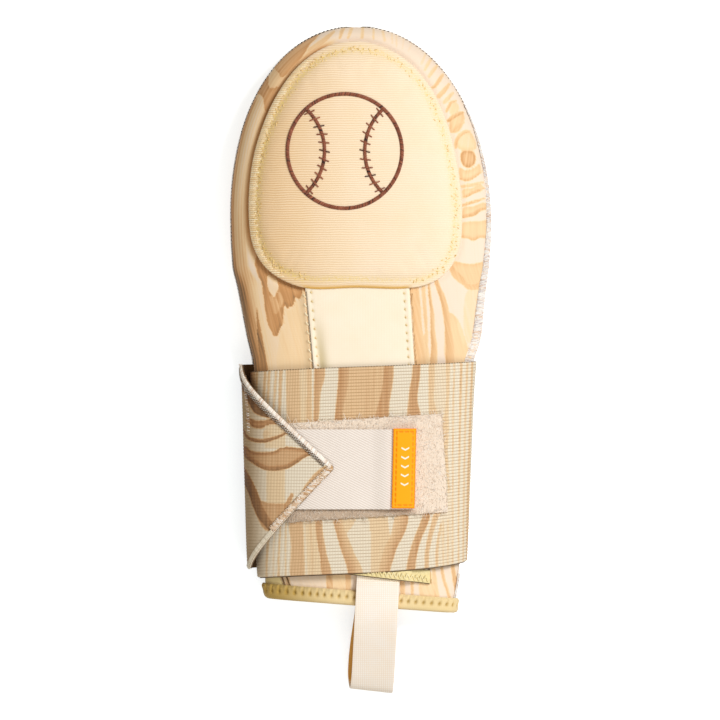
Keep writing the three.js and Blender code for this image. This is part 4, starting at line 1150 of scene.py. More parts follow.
def swollen(made, hold, pressure, cap):
    """Swells a closed mesh by cloth pressure. The held points are pinned, and none moves further than cap."""
    before = np.array([v.co for v in made.data.vertices])
    group = made.vertex_groups.new(name="held")
    group.add([int(k) for k in np.flatnonzero(hold)], 1.0, "REPLACE")
    modifier = made.modifiers.new("Swell", "CLOTH")
    settings = modifier.settings
    settings.quality = 6
    settings.use_pressure = True
    settings.uniform_pressure_force = pressure
    settings.effector_weights.gravity = 0
    settings.vertex_group_mass = "held"
    settings.tension_stiffness = settings.compression_stiffness = 12
    settings.bending_stiffness = 0.4
    scene = bpy.context.scene
    for number in range(1, 21):
        scene.frame_set(number)
    result = made.evaluated_get(bpy.context.evaluated_depsgraph_get()).data
    after = np.array([v.co for v in result.vertices])
    scene.frame_set(1)
    made.modifiers.clear()
    made.vertex_groups.clear()
    move = after - before
    size = np.linalg.norm(move, axis=1, keepdims=True)
    move *= np.minimum(1, cap * MM / np.maximum(size, 1e-9))
    made.data.vertices.foreach_set("co", (before + move).astype(np.float32).ravel())
    made.data.update()


def vertices(made):
    """A piece's vertices in millimetres."""
    return np.array([v.co for v in made.data.vertices]) / MM


def pad_banded(x, y):
    """1 where the pad's edge is sewn with thread, 0 along its turned-in lower side."""
    return 1 - ease(41, 37, y) * ease(-31, -26, x) * (1 - ease(22, 27, x))


def pad_height(points):
    """How far points of the pad are above its underside."""
    return points[:, 2] - lay(points[:, 0], points[:, 1], PAD["clear"])[:, 2]


def pad_cushion(rim, closed, material):
    """The pad before it swells: two layers of triangles between its outline and an even grid of points."""
    rings = pad_insets(rim, (0.9, 2.1, 4.3, 6.6))
    pitch = 2.7
    gx, gy = np.meshgrid(np.arange(-60, 56, pitch), np.arange(30, 165, pitch * 0.866))
    gx = gx + (np.arange(gx.shape[0]) % 2)[:, None] * pitch / 2
    away = from_path(gx, gy, closed)
    keep = inside(gx, gy, rim) & (away > 8.4)
    plan = np.vstack([rim, *rings, np.stack([gx[keep], gy[keep]], 1)])
    cut = geometry.delaunay_2d_cdt([Vector(p) for p in plan], [], [list(range(len(rim)))], 1, 1e-5)
    xy, triangles, count = np.array([list(p) for p in cut[0]]), cut[2], len(cut[0])
    away = from_path(*xy.T, closed)
    top = lay(*xy.T, PAD["clear"] + 1.8 + (PAD["thick"] - 2.8) * ease(1.5, 9.5, away))
    low = lay(*xy.T, PAD["clear"])
    faces = [tuple(t) for t in triangles] + [tuple(count + k for k in reversed(t)) for t in triangles]
    edges = dict.fromkeys((a, b) for t in triangles for a, b in zip(t, (*t[1:], t[0])))
    faces += [(b, a, count + a, count + b) for a, b in edges if (b, a) not in edges]
    return make_object("knuckle_pad_cloth", np.vstack([top, low]), faces, material, sharp=180)


def knuckle_pad(material, pressure):
    """The padded knit patch: a closed cushion on its outline, swollen, with a needle line inside its edge."""
    rim = smooth_path(PAD_OUTLINE, 2.4, closed=True)[:-1][::-1]
    closed = np.vstack([rim, rim[:1]])
    made = pad_cushion(rim, closed, material)
    points = vertices(made)
    away = from_path(points[:, 0], points[:, 1], closed)
    lifted = pad_height(points)
    swollen(made, (lifted < 0.5) | (away < 0.3), pressure, 1.5)
    soften = made.modifiers.new("Soften", "SUBSURF")
    soften.levels = soften.render_levels = 1
    applied(made)
    points = vertices(made)
    away = from_path(points[:, 0], points[:, 1], closed)
    lifted = pad_height(points)
    needle = hump(away, PAD["band"], 0.9)
    banded = pad_banded(points[:, 0], points[:, 1])
    relief = -0.22 * needle + 0.12 * hump(away, 1.9, 1.2)
    points[:, 2] += np.where(lifted > 0.8, relief * banded, 0)
    made.data.vertices.foreach_set("co", (points * MM).astype(np.float32).ravel())
    # Painted shade of the fold along the pad's turned-in lower edge, shown as an ochre line.
    turned = (1 - banded) * ease(2.2, 0.4, away)
    rightward = ease(-20, 30, points[:, 0])
    pierced = banded * np.exp(-((away - PAD["band"] - 0.2 + rightward) / 1.8) ** 2) * (1 - 0.4 * rightward)
    carry(made.data, "turned", turned)
    carry(made.data, "pierced", pierced)
    made.data.update()
    made.data.shade_smooth()
    return made


def stitched(name, ground, path, offsets, pitch, bow, radius, material, slant=0.0, raise_by=0.1):
    """Stitches across a plan path on the surface below: each runs from one sideways offset to the other."""
    path = spaced(path, pitch)
    along, side = ways(path)
    first = path + side * offsets[0] - along * slant / 2
    second = path + side * offsets[1] + along * slant / 2
    starts, _ = dropped(ground, first[:, 0], first[:, 1], raise_by)
    ends, _ = dropped(ground, second[:, 0], second[:, 1], raise_by)
    middles, _ = dropped(ground, *((first + second) / 2).T, raise_by + bow)
    return threads(name, starts, ends, middles - (starts + ends) / 2, radius, material)


def sewn(name, ground, first, second, bow, radius, material, slot, raised=(0.1, 0.1)):
    """Strands from points of a plan to others, raised from the surface below and bowed up from it."""
    starts, ups = dropped(ground, *first.T, raised[0])
    ends, _ = dropped(ground, *second.T, raised[1])
    return threads(name, starts, ends, ups * bow, radius, material)


def running(name, ground, path, pitch, length, bow, radius, material, slot, raise_by=0.05):
    """Running stitches on the surface below a plan path, each as long as given and one every pitch."""
    path = spaced(path, pitch)
    along, _ = ways(path)
    half = along * length / 2
    return sewn(name, ground, path - half, path + half, bow, radius, material, slot, (raise_by, raise_by))


def arc(centre, radius, start, end, count=64):
    angles = np.radians(np.linspace(start, end, count))
    return np.stack([centre[0] + radius * np.cos(angles), centre[1] + radius * np.sin(angles)], 1)


def folded_sides(path, thickness):
    """A strip's two faces: a path in a plane, moved to both sides by half of the strip's thickness."""
    side = ways(path)[1] * thickness / 2
    return path[:, :2] + side, path[:, :2] - side


def strap_height(s):
    side = GAP + (STRAP["loose"] - GAP) * ease(*STRAP["lifts"], s)
    return side + (FLAP_BASE - side) * ease(*STRAP["lands"], s)


def strap_point(s, y, over):
    points = skin(s, y, on_strap(y, strap_height(s) + over))
    points[..., 2] = np.maximum(points[..., 2], STRAP["thick"] - over)
    return points


def strap_stations():
    """s of the strap's rows, the length that is left from each to the point, and the length run so far."""
    reach = np.linspace(-1.5, -1.35, 601)
    x = skin(reach, np.full(len(reach), POINT["y"]), on_strap(POINT["y"], FLAP_BASE))[:, 0]
    end = reach[np.argmax(x <= POINT["x"])]
    fine = np.linspace(STRAP["start"], end, 4001)
    points = strap_point(fine, np.full(len(fine), float(POINT["y"])), 0.0)
    run = run_length(points, 0)
    at = np.linspace(0, run[-1], even(int(run[-1] / 0.7)))
    return np.interp(at, run, fine), run[-1] - at + POINT["blunt"], at


def strap_edges(s, left):
    """y of the strap's straight edges at s, and of the cut edges of its pointed end."""
    straight = curve(STRAP_EDGES[0], STRAP_EDGES[1], s), curve(STRAP_EDGES[0], STRAP_EDGES[2], s)
    cut = POINT["y"] + POINT["upper"] * left, POINT["y"] - POINT["lower"] * left
    return straight, (np.minimum(straight[0], cut[0]), np.maximum(straight[1], cut[1]))


def wrist_strap(material):
    """The elastic strap: its ribs keep to the straight edges and are cut off at the pointed end."""
    s, left, run = strap_stations()
    (high, low), (top, bottom) = strap_edges(s, left)
    t = np.linspace(0, 1, 3 * RIBS + 1)[None, :]
    y = np.clip(low[:, None] + (high - low)[:, None] * t, bottom[:, None], top[:, None])
    ss, along = s[:, None] + 0 * y, run[:, None] + 0 * y
    outer, inner = strap_point(ss, y, STRAP["thick"]), strap_point(ss, y, 0.0)
    to_edge = np.minimum(y - bottom[:, None], top[:, None] - y)
    ridge = np.abs(np.sin(pi * RIBS * t)) + 0 * y
    x = outer[..., 0]
    deep = 0.16 + 0.14 * ease(-45, -10, x)
    height = -deep * (1 - np.sqrt(ridge)) - 0.35 * np.exp(-np.maximum(to_edge, 0) / 0.5)
    outer = outer + normals(outer) * height[..., None]
    front, flap = ((ss >= 0) & (ss <= 1))[..., None], (ss < -0.93)[..., None]
    front_grain, flap_grain = (drawn(areas, bands, x, y, along)
                               for areas, bands in ((STRAP_AREAS, STRAP_BANDS), (FLAP_AREAS, FLAP_BANDS)))
    grain = grown_grain(along - 150, y * 0.35, 17.0)
    carried = {key: np.where(front, front_grain[key], np.where(flap, flap_grain[key], grain[key]))
               for key in grain}
    carried["lie"] = np.stack([along, ridge, to_edge], -1)
    return slab("strap_elastic", outer, inner, material, carried), (s, left)


def edge_frames(stations, side, first, last, pitch):
    """Places along a cut edge of the strap's point, with the ways along it, out of the cloth and inwards."""
    s, left = stations
    chosen = (left >= first) & (left <= last)
    s, y = s[chosen], strap_edges(s, left)[1][side == "bottom"][chosen]
    down = -1 if side == "top" else 1
    both = np.concatenate([strap_point(s, y, STRAP["thick"]), strap_point(s, y + down, STRAP["thick"]),
                           strap_point(s - 0.002, y, STRAP["thick"])], 1)
    both = spaced(both, pitch)
    edge, across, ahead = both[:, :3], both[:, 3:6] - both[:, :3], both[:, 6:] - both[:, :3]
    along, up = unit(np.gradient(edge, axis=0)), unit(np.cross(across, ahead))
    up = up * np.where(up[:, 2:] < 0, -1, 1)
    inward = unit(np.cross(up, along))
    return edge, along, up, inward * np.sign(np.sum(inward * across, axis=1, keepdims=True))


def edge_threads(name, frames, reach, slant, bow, radius, material):
    """A strand at each place of a strap's edge, from inside it to past it or to further inside."""
    edge, along, up, inward = frames
    slant = slant + np.random.default_rng(len(name)).normal(0, 0.18, (len(edge), 1))
    starts = edge + inward * reach[0] + up * 0.12 + along * slant / 2
    ends = edge + inward * reach[1] + up * (0.12 if reach[1] > 0 else -0.7) - along * slant / 2
    return threads(name, starts, ends, up * bow, radius, material)


def on_patch(a, b):
    """Plan of the patch's own lengthways and crosswise places."""
    return PATCH["x"] + a - PATCH["tilt"] * b, PATCH["y"] + b + PATCH["tilt"] * a


def loop_patch(material):
    a = np.linspace(-PATCH["length"] / 2, PATCH["length"] / 2, even(89))[:, None]
    b = np.linspace(-PATCH["height"] / 2, PATCH["height"] / 2, even(57))[None, :]
    x, y = on_patch(a, b)
    edge = np.minimum(PATCH["length"] / 2 - np.abs(a), PATCH["height"] / 2 - np.abs(b))
    fuzz = 0.12 * np.sin(x * 3.1 + 2 * np.sin(y * 1.7)) * np.sin(y * 2.7) - 0.45 * np.exp(-edge / 0.8)
    pressed = np.exp(-((y - TAB["bottom"] + 0.4) / 0.8) ** 2) * (x < TAG["right"])
    outer = lay_on_strap(x, y, PATCH_BASE + PATCH["thick"] - 0.1 + fuzz - 0.6 * pressed)
    # Painted shade: the fleece is darker just under the tab's lower edge.
    shaded = ease(TAB["bottom"] + 1.5, TAB["bottom"], y) * (1 - ease(TAG["right"] - 3, TAG["right"] + 2, x))
    return slab("loop_patch_cloth", outer, lay_on_strap(x, y, PATCH_BASE), material, {"groove": shaded})


def patch_fibres(ground, material, count=7000):
    """The patch's loops of fine nylon, seeded where the tab leaves the patch bare."""
    dice = np.random.default_rng(7)
    length, height = PATCH["length"] / 2, PATCH["height"] / 2
    a = dice.uniform(-length - 0.3, length + 0.3, count)
    b = dice.uniform(-height - 0.3, height + 0.3, count)
    x, y = on_patch(a, b)
    flap = (y - POINT["y"] < (POINT["x"] - x) * 1.0 - 1) & (y - POINT["y"] > (x - POINT["x"]) * 1.05 + 1)
    tab = (x > TAB["left"]) & (x < PULL_EDGE) & (y > TAB["bottom"] + 0.8) & (y < TAB["top"] - 0.8)
    keep = ~(flap | tab)
    a, b = (np.clip(v[keep], 0.2 - reach, reach - 0.2) for v, reach in ((a, length), (b, height)))
    x, y = on_patch(a, b)
    roots, ups = dropped(ground, x, y, -0.05)
    lean = dice.normal(0, 0.45, (len(roots), 3))
    lean[:, 2] *= 0.2
    loose = 1 + 1.2 * ((np.abs(a) > length - 1.2) | (np.abs(b) > height - 1.3))[:, None]
    tips = roots + lean * 1.5 * loose + ups * dice.uniform(0.0, 0.1, len(roots))[:, None]
    # Fibres under the tab's lower edge take the darker tones, as painted shade.
    low = (roots[:, 1] < TAB["bottom"]) & (roots[:, 0] < TAG["right"])
    shade = np.where(low, dice.uniform(0.6, 1, len(roots)), dice.uniform(0, 0.7, len(roots)))
    bows = ups * 0.13 * loose
    return threads("loop_patch_fibres", roots, tips, bows, 0.11, material, shade, 3, 4)


def tab_rise(x):
    return TAB["rise"][2] * ease(TAB["rise"][0], TAB["rise"][1], x)


def hook_tab(material):
    x = np.linspace(TAB["left"], TAB["right"], even(77))[:, None]
    y = np.linspace(TAB["bottom"], TAB["top"], even(53))[None, :]
    edge = np.minimum(y - TAB["bottom"], TAB["top"] - y) + x * 0
    height = 0.1 * np.sin(x / 8) * np.sin(y / 9 + 1) - 0.3 * np.exp(-edge / 0.35)
    base = TAB_BASE + tab_rise(x)
    return slab("hook_tab_twill", lay_on_strap(x, y, base + TAB["thick"] + height - 0.1),
                lay_on_strap(x, y, base + y * 0), material)


def tag_fold():
    """Section along the tag's strip, from under the tab round its end and back on top."""
    under = TAB_BASE + TAG["thick"] / 2
    over = TAB_BASE + TAB["rise"][2] + TAB["thick"] + GAP + TAG["thick"] / 2
    middle, reach = (under + over) / 2, (over - under) / 2
    turn = TAG["right"] - TAG["thick"] / 2 - reach
    bend = np.radians(np.linspace(-90, 90, 13))
    return np.vstack([
        np.stack([np.linspace(TAG["left"], turn, 12, endpoint=False), np.full(12, under)], 1),
        np.stack([turn + reach * np.cos(bend), middle + reach * np.sin(bend)], 1),
        np.stack([np.linspace(turn, TAG["left"], 37)[1:], np.full(36, over)], 1),
    ])


def pull_tag(material):
    """The rubber tag: a strip folded round the tab's end, with a dashed groove and plain chevrons."""
    path = tag_fold()
    inner, outer = folded_sides(path, TAG["thick"])
    y = np.linspace(TAG["bottom"], TAG["top"], 133)[None, :]
    faces = [lay_on_strap(side[:, :1] + TAG["lean"] * (y + 54), y, side[:, 1:] + y * 0)
             for side in (outer, inner)]
    x = outer[:, :1] + y * 0
    top = (np.arange(len(path)) >= 20)[:, None] & np.ones(y.shape, bool)
    to_left, to_right = x - TAG["left"], TAG["right"] - x
    to_ends = np.minimum(y - TAG["bottom"], TAG["top"] - y) + x * 0
    inset = np.minimum(np.minimum(to_left, to_right), to_ends)
    beat = np.where(to_ends < np.minimum(to_left, to_right) + 0.01, x, y)
    dash = 0.25 + 0.75 * ease(0.14, 0.32, 0.5 + 0.5 * np.cos(2 * pi * beat / 2.8))
    groove = hump(inset, 1.6, 0.36) * dash
    edge = np.exp(-np.maximum(to_ends, 0) / 0.35) + np.exp(-np.maximum(to_left, 0) / 0.35)
    centre_x, beat_y = (TAG["left"] + TAG["right"]) / 2 + 0.4, (y + 42) % 4.4 - 2.2
    bar = np.abs(beat_y - 0.55 * np.abs(x - centre_x) + 0.6)
    within = (np.abs(x - centre_x) < 1.9) & (y > -64.3) & (y < -42)
    mark = np.where(within & top, 0.42 - bar, -1.0)
    height = np.where(top, -0.34 * groove + 0.12 * ease(-0.1, 0.15, mark), 0) - 0.22 * edge
    faces[0][..., 2] += np.where(top, height, 0)
    # Painted shade in the dashed groove; the rubber is also marked darker towards its edges.
    dark = np.maximum(groove * top, 0.8 * ease(0.75, 0.2, inset))
    return slab("pull_tag_rubber", faces[0], faces[1], material, {"groove": dark, "mark": mark})


def cuff_binding(material):
    """The tape folded round the hem: its outside leg is drawn in by the zigzag seam."""
    middle = BINDING["thick"] / 2 + BINDING["clear"]
    wall, bottom = HEM_WALL + 2 * middle, HEM_Y + BINDING["thick"] / 2
    legs = (HEM_Y + BINDING["height"], HEM_Y + 3.2)
    share = [(0, legs[0]), (0, legs[1]), (0.1, bottom + 0.48), (0.5, bottom), (0.9, bottom + 0.48),
             (1, legs[1]), (1, legs[0])]
    path = smooth_path([(t * wall, y) for t, y in share], 0.55)
    path = resampled(path, 49)
    inner, outer = folded_sides(path, BINDING["thick"])
    turns = np.linspace(0, 2, 769)[None, :-1]

    def sides(face):
        past = face[:, :1] - HEM_WALL - middle + turns * 0
        return hemmed(turns + past * 0, face[:, 1:] + turns * 0, grown(past))

    out, low = sides(outer), sides(inner)
    run = run_length(np.concatenate([out[-1:], out[-1:, :1]], 1), 1)[0, :-1]
    pitch = BINDING["pitch"]
    phase = (run + 0.5 * np.sin(run / 6)) / pitch
    off = (phase - np.round(phase)) * pitch
    up = outer[:, 1:] - HEM_Y
    outside = (outer[:, 0] > wall / 2)[:, None]
    leaning = off + 0.25 * (up - 4.2)
    dimple = np.exp(-(leaning / 0.75) ** 2 - ((up - 4.1) / 1.0) ** 2)
    crease = hump(leaning, 0, 0.6) * ease(3.4, 4.6, up)
    puff = np.cos(pi * off / pitch) ** 2 * ease(3.6, 5.2, up) * (1 - ease(6.6, 8, up))
    roll = hump(up, 2.1, 1.3)
    tucked = ease(6, 7.6, up)
    height = 0.35 * puff - 0.85 * dimple - 0.6 * crease + 0.15 * roll - 0.8 * tucked * (1 - 0.7 * puff)
    out = out + normals(out) * (height * outside)[..., None]
    # The marked colour is painted shade: in the dimples and creases, and towards the tape's left end.
    seam = 0.8 * dimple + 0.2 * crease * (1 - tucked) + 0.95 * ease(-10, -46, out[..., 0])
    seam = np.clip(seam, 0, 1) * outside
    return slab("cuff_binding_tape", out, low, material, {"groove": seam}, wrap=True)


def centre_panel(material):
    """The stretch panel down the back, its side edges rolled and sewn through every few millimetres."""
    row = np.linspace(0, 1, even(157))[:, None]
    share = np.linspace(0, 1, even(73))[None, :]
    guess = PANEL["top"] + (PANEL_END["y"] - PANEL["top"]) * row
    left, right = panel_edges(guess)
    x = left + (right - left) * share
    y = PANEL["top"] + (PANEL_END["y"] + PANEL_END["slope"] * x - PANEL["top"]) * row
    edge = np.minimum(share, 1 - share) * (right - left)
    pitch = np.where(share < 0.5, *PANEL["pitches"])
    beat = np.exp(-(((y + 0.4) % pitch - pitch / 2) / 0.75) ** 2)
    needle = hump(edge, PANEL["seam"], 0.55)
    relief = 0.12 * hump(edge, 1.2, 0.8) - needle * (0.08 + 0.4 * beat) - 0.4 * np.exp(-edge / 0.4)
    relief = relief + 0.1 * np.sin(y / 7 + x / 15) * ease(3, 9, edge)
    past = x - left - 3.4
    fold = np.exp(-(past / np.where(past < 0, 1.3, 2.8)) ** 2) * ease(26, 0, y)
    painted_fold_shade = np.exp(-((past - 1.2) / np.where(past < 1.2, 1.6, 3)) ** 2) * ease(26, -2, y)
    relief = relief - 1.0 * fold
    base = GAP + under_panel(x, y)
    outer = lay(x, y, base + PANEL["thick"] - 0.1 + relief)
    # The marked colour is painted shade: in the needle dimples and in the lee of the fold by the left seam.
    dark = np.maximum(needle * beat, 0.75 * painted_fold_shade)
    return slab("centre_panel_cloth", outer, lay(x, y, base), material, {"groove": dark})


def panel_binding(material):
    """The pale tape that binds the panel's lower end."""
    x = np.linspace(-14.2, 34.6, even(81))[:, None]
    v = np.linspace(0, 6.9, even(21))[None, :]
    y = PANEL_END["y"] + PANEL_END["slope"] * x - 0.35 + v
    round_off = np.sqrt(np.clip(1 - ((v - 3.45) / 3.55) ** 6, 0.02, 1))
    base = GAP + under_panel(x, y) + PANEL["thick"] - 0.5
    puff = 0.16 * np.sin(2 * pi * x / 2.3 + 1.5 * np.sin(v)) * np.sin(pi * v / 3.5)
    top = lay(x, y, base + 0.35 + (0.75 + puff) * round_off)
    return slab("panel_end_tape", top, lay(x, y, base - 0.5), material)


def cuff_gusset(material):
    y = np.linspace(GUSSET["bottom"], -34.5, even(73))[:, None]
    t = np.linspace(0, 1, even(33))[None, :]
    first, last = gusset_border("back", y), gusset_border("palm", y)
    s = first + (last - first) * t + SEAM_INSET * (1 - 2 * t)
    yy = y + t * 0
    outer, inner = hemmed(s, yy, grown(0)), hemmed(s, yy, wall_in(yy))
    sag = -0.55 * np.sin(pi * t) * ease(-118, -112, y)
    sag = sag + 0.12 * np.sin(2 * pi * y / 6.3 + 4 * t) * ease(-118, -113, y)
    outer = outer + normals(outer) * sag[..., None]
    return slab("gusset_cloth", outer, inner, material)


def pull_loop(material):
    """The webbing loop: two layers sewn under the panel's end and a drooping eye below the cuff."""
    over_binding = (BINDING["thick"] + BINDING["clear"]) * ease(-109, -114, np.array(LOOP_SEWN))
    lower = GAP + LOOP["thick"] / 2
    upper = lower + LOOP["thick"] + GAP
    sewn = [lay(np.full(len(LOOP_SEWN), LOOP["x"]), np.array(LOOP_SEWN, float), h + over_binding)
            for h in (upper, lower)]
    top = [(p[1], p[2], 0.0) for p in sewn[0]]
    low = [(p[1], p[2], 0.0) for p in sewn[1]][::-1]
    path = smooth_path([*top, *LOOP_PATH, *low], 0.55)
    path = resampled(path, even(len(path)))
    sides = folded_sides(path, LOOP["thick"])
    across = np.linspace(-0.5, 0.5, 41)[None, :]
    run = run_length(path[:, :2], 0)
    rib = -0.1 * (1 - np.sqrt(np.abs(np.sin(pi * run / 1.1))))[:, None]
    rib = rib - 0.12 * np.exp(-(0.5 - np.abs(across)) * 21 / 0.5)
    sewn_share = ease(-126, -114, path[:, 0])[:, None]
    grids = []
    for side in sides:
        y, z = side[:, :1] + LOOP["slope"] * (0.5 - across) * (1 - sewn_share), side[:, 1:] + across * 0
        x = LOOP["x"] + path[:, 2:3] + LOOP["lean"] * (y - LOOP["sewn"]) + across * LOOP["width"]
        lift = lay(x, y, 1.0)[..., 2] - lay(LOOP["x"] + x * 0, y, 1.0)[..., 2]
        grids.append(np.stack([x, y, z + sewn_share * lift], -1))
    face = unit(grids[1] - grids[0])
    grids[0], grids[1] = grids[0] - face * rib[..., None], grids[1] + face * rib[..., None]
    # Painted shade: the leg turned under is marked for an ochre tint.
    behind = ease(0.5, 0.53, run / run[-1])[:, None] + across * 0
    return slab("pull_loop_webbing", grids[0], grids[1], material, {"back": behind}, step=1)


def ball_motif():
    """A plain baseball in outline, with its two seams, for the embroidered place on the knuckles."""
    centre, radius = (-8.0, 104.0), 28.5
    seams = [arc((centre[0] + side * 38.5, centre[1]), radius, 180 * (side > 0) - 47, 180 * (side > 0) + 47)
             for side in (-1, 1)]
    return arc(centre, radius, 0, 360, 128), seams


def colour_property(label, text, value):
    return bpy.props.FloatVectorProperty(
        name=label, description=text, subtype="COLOR", size=4, min=0, max=1, default=linear(value))


class MittColours(bpy.types.PropertyGroup):
    """Colours of the print, the plain cloths, the tag and the floor."""

    ground: colour_property("Ground", "Palest tone of the printed grain", "#F6E4D2")
    faint: colour_property("Faint", "Tone of the print's faint streaks", "#F7DAB0")
    middle: colour_property("Middle", "Tone of the print's wide bands", "#EBC292")
    dark: colour_property("Dark", "Tone of the print's dark bands", "#CF9A66")
    deepest: colour_property("Deepest", "Darkest tone of the print, at the edges of shapes", "#8A6D50")
    lining: colour_property("Lining", "Cloth inside the pocket and behind the strap", "#F3E6CE")
    elastic: colour_property("Elastic", "Palest tone of the printed elastic", "#F2EBDB")
    tag: colour_property("Tag", "Rubber of the pull tag", "#FFB000")
    floor: colour_property("Floor", "Floor of the stage", "#FDFDFC")


class MittSizes(bpy.types.PropertyGroup):
    """Sizes that a maker would change without touching the frame."""

    thread: bpy.props.FloatProperty(
        name="Thread", description="Radius of the sewing thread", subtype="DISTANCE", unit="LENGTH",
        default=0.00024)
    swelling: bpy.props.FloatProperty(
        name="Swelling", description="Pressure that swells the knuckle pad", default=4.0, min=0, max=20)
    camera: bpy.props.FloatProperty(
        name="Camera height", description="Height of the camera over the mitt", subtype="DISTANCE",
        unit="LENGTH", default=5.0)


def print_tones():
    c = bpy.context.scene.mitt_colours
    return [tuple(tone) for tone in (c.ground, c.faint, c.middle, c.dark, c.deepest)]


def elastic_tones():
    """The same print on elastic, which takes less dye than jersey."""
    c = bpy.context.scene.mitt_colours
    faint, middle, dark = linear("#F1DCBA"), linear("#E9CAA2"), linear("#CC9E72")
    return [tuple(tone) for tone in (c.elastic, faint, middle, dark, c.deepest)]


class MITT_OT_covers(bpy.types.Operator):
    """Makes the padded covers over the back and under the palm, and the gusset between them"""

    bl_idname = "mitt.covers"
    bl_label = "Covers"

    def execute(self, context):
        printed = printed_cloth(print_tones(), context.scene.mitt_colours.lining[:])
        rows = cover_rows(GUSSET["bottom"], COVER["row"], COVER["tip_rows"])
        back = cover("back_cover", right_seam, lambda y: gusset_border("back", y), rows, COVER["columns"],
                     back_relief, back_grain, printed)
        ready(back, ["back_shell", "back_fingers"])
        rows = cover_rows(GUSSET["bottom"], COVER["palm_row"], COVER["tip_rows"] // 2)
        palm = cover("palm_cover", lambda y: gusset_border("palm", y), lambda y: 2 + right_seam(y), rows,
                     COVER["palm_columns"], palm_relief, palm_grain, printed)
        ready(palm, ["palm_shell", "palm_fingers"])
        # Plain stretch cloth: a smooth jersey face with a soft sheen.
        stretch = plain_cloth("cream stretch jersey", "#FFF0BE", "#F6DE9C", 0.8, 1.0, sheen=0.3,
                              distance=0.05)
        ready(cuff_gusset(stretch), ["cuff_gusset"])
        return {"FINISHED"}


class MITT_OT_panel(bpy.types.Operator):
    """Makes the stretch panel down the back, with its bound end and its seams"""

    bl_idname = "mitt.panel"
    bl_label = "Centre panel"

    def execute(self, context):
        radius = context.scene.mitt_sizes.thread / MM
        # Smooth stretch knit: a fine even face with a soft sheen, with painted shade in the needle dimples
        # and in the lee of the fold by the left seam.
        cloth_face = plain_cloth("smooth stretch knit", "#FFF6E6", "#FCEFD8", 0.8, 1.0, sheen=0.3,
                                 distance=0.05, marked=("groove", "#D6C594"))
        panel = ready(centre_panel(cloth_face), ["centre_panel"])
        # Knitted binding tape: a soft even face with a slight sheen.
        tape = plain_cloth("pale yellow tape", "#FBEFC0", "#F1E0A6", 0.9, 0.9, sheen=0.3, distance=0.12)
        end = ready(panel_binding(tape))
        pale_ochre = yarn("pale ochre polyester thread")
        ground = seat(end)
        x = np.linspace(-12.5, 33.5, 41)
        y = PANEL_END["y"] + PANEL_END["slope"] * x - 0.35
        low, high = np.stack([x, y + 1.2], 1), np.stack([x, y + 3.9], 1)
        zigzag = np.where((np.arange(len(x)) % 2 == 0)[:, None], low, high)
        sewn("panel_end_zigzag", ground, zigzag[:-1], zigzag[1:], 0.3, radius * 1.9, pale_ochre,
             "stretch_fabric", (0.15, 0.15))
        hem = np.stack([x, y + 0.25], 1)
        dark = yarn("dark seam and shadow thread")
        running("panel_end_hem", ground, hem, 1.5, 1.4, 0.1, radius * 0.9, dark, "stretch_fabric")
        ground = seat(panel)
        for side, pitch in enumerate(PANEL["pitches"]):
            y = -0.4 + pitch * (np.arange(-26, 9) + 0.5)
            y = y[(y > -98) & (y < 34)]
            x = panel_edges(y)[side] + (PANEL["seam"], -PANEL["seam"])[side]
            holes = np.stack([x, y], 1)
            sewn(f"panel_stitches_{side + 1}", ground, holes + (-0.35, 0.2), holes + (0.35, -0.2), 0.3,
                 radius, yarn("ochre polyester thread"), "stretch_fabric", (0.12, 0.12))
        y = np.linspace(33.5, -98, 120)
        seam = np.stack([panel_edges(y)[0] + 0.5, y], 1)
        running("panel_left_seam", ground, seam, 1.35, 1.25, 0.12, radius * 0.6, dark, "stretch_fabric")
        y = np.arange(32, -98, -PANEL["pitches"][0])
        ties = np.stack([panel_edges(y)[0] - 0.75, y], 1)
        back = seat(bpy.data.objects["back_cover"])
        sewn("panel_left_ties", back, ties + (-0.4, 0.7), ties + (0.5, -0.8), 0.4, radius * 1.7,
             yarn("cream polyester thread"), "stretch_fabric", (0.1, 0.35))
        return {"FINISHED"}


def needle_points(ground, path, radius):
    """Short ochre stitches scattered just inside the pad's sewn edge, closer together on its left side."""
    dice = np.random.default_rng(11)
    path = spaced(path, 0.5)
    along, inward = ways(path)
    crowd = 0.5 - 0.22 * ease(-20, 30, path[:, 0])
    kept = dice.random(len(path)) < crowd
    path, along, inward = path[kept], along[kept], inward[kept]
    depth = (dice.normal(4.4, 1.0, len(path)) - 1.2 * ease(-10, 30, path[:, 0]))[:, None]
    turn = dice.normal(0, 0.8, len(path))[:, None]
    half = (inward + along * turn) * dice.uniform(0.2, 0.45, len(path))[:, None]
    middle = path + inward * depth
    sewn("pad_needle_points", ground, middle - half, middle + half, 0.15, radius * 0.85,
         yarn("ochre polyester thread"), "knit_fabric", (0.0, 0.0))


def rib_ends(ground, rim, material):
    """The knit's ribs where they roll over the pad's left edge, each as a soft cord of its own."""
    left = rim[rim[:, 0] < -20]
    left = left[np.argsort(left[:, 1])]
    y = np.arange(41.5, 150, 0.98)
    x = np.interp(y, left[:, 1], left[:, 0])
    reach = 3.9 + 0.6 * np.sin(1.9 * y)
    starts, _ = dropped(ground, x + 0.3, y, -0.12)
    ends, _ = dropped(ground, x + reach, y + 0.15, -0.38)
    middles, _ = dropped(ground, x + reach / 2, y + 0.05, 0.1)
    bows = middles - (starts + ends) / 2
    threads("pad_rib_ends", starts, ends, bows, 0.35, material, sides=7)


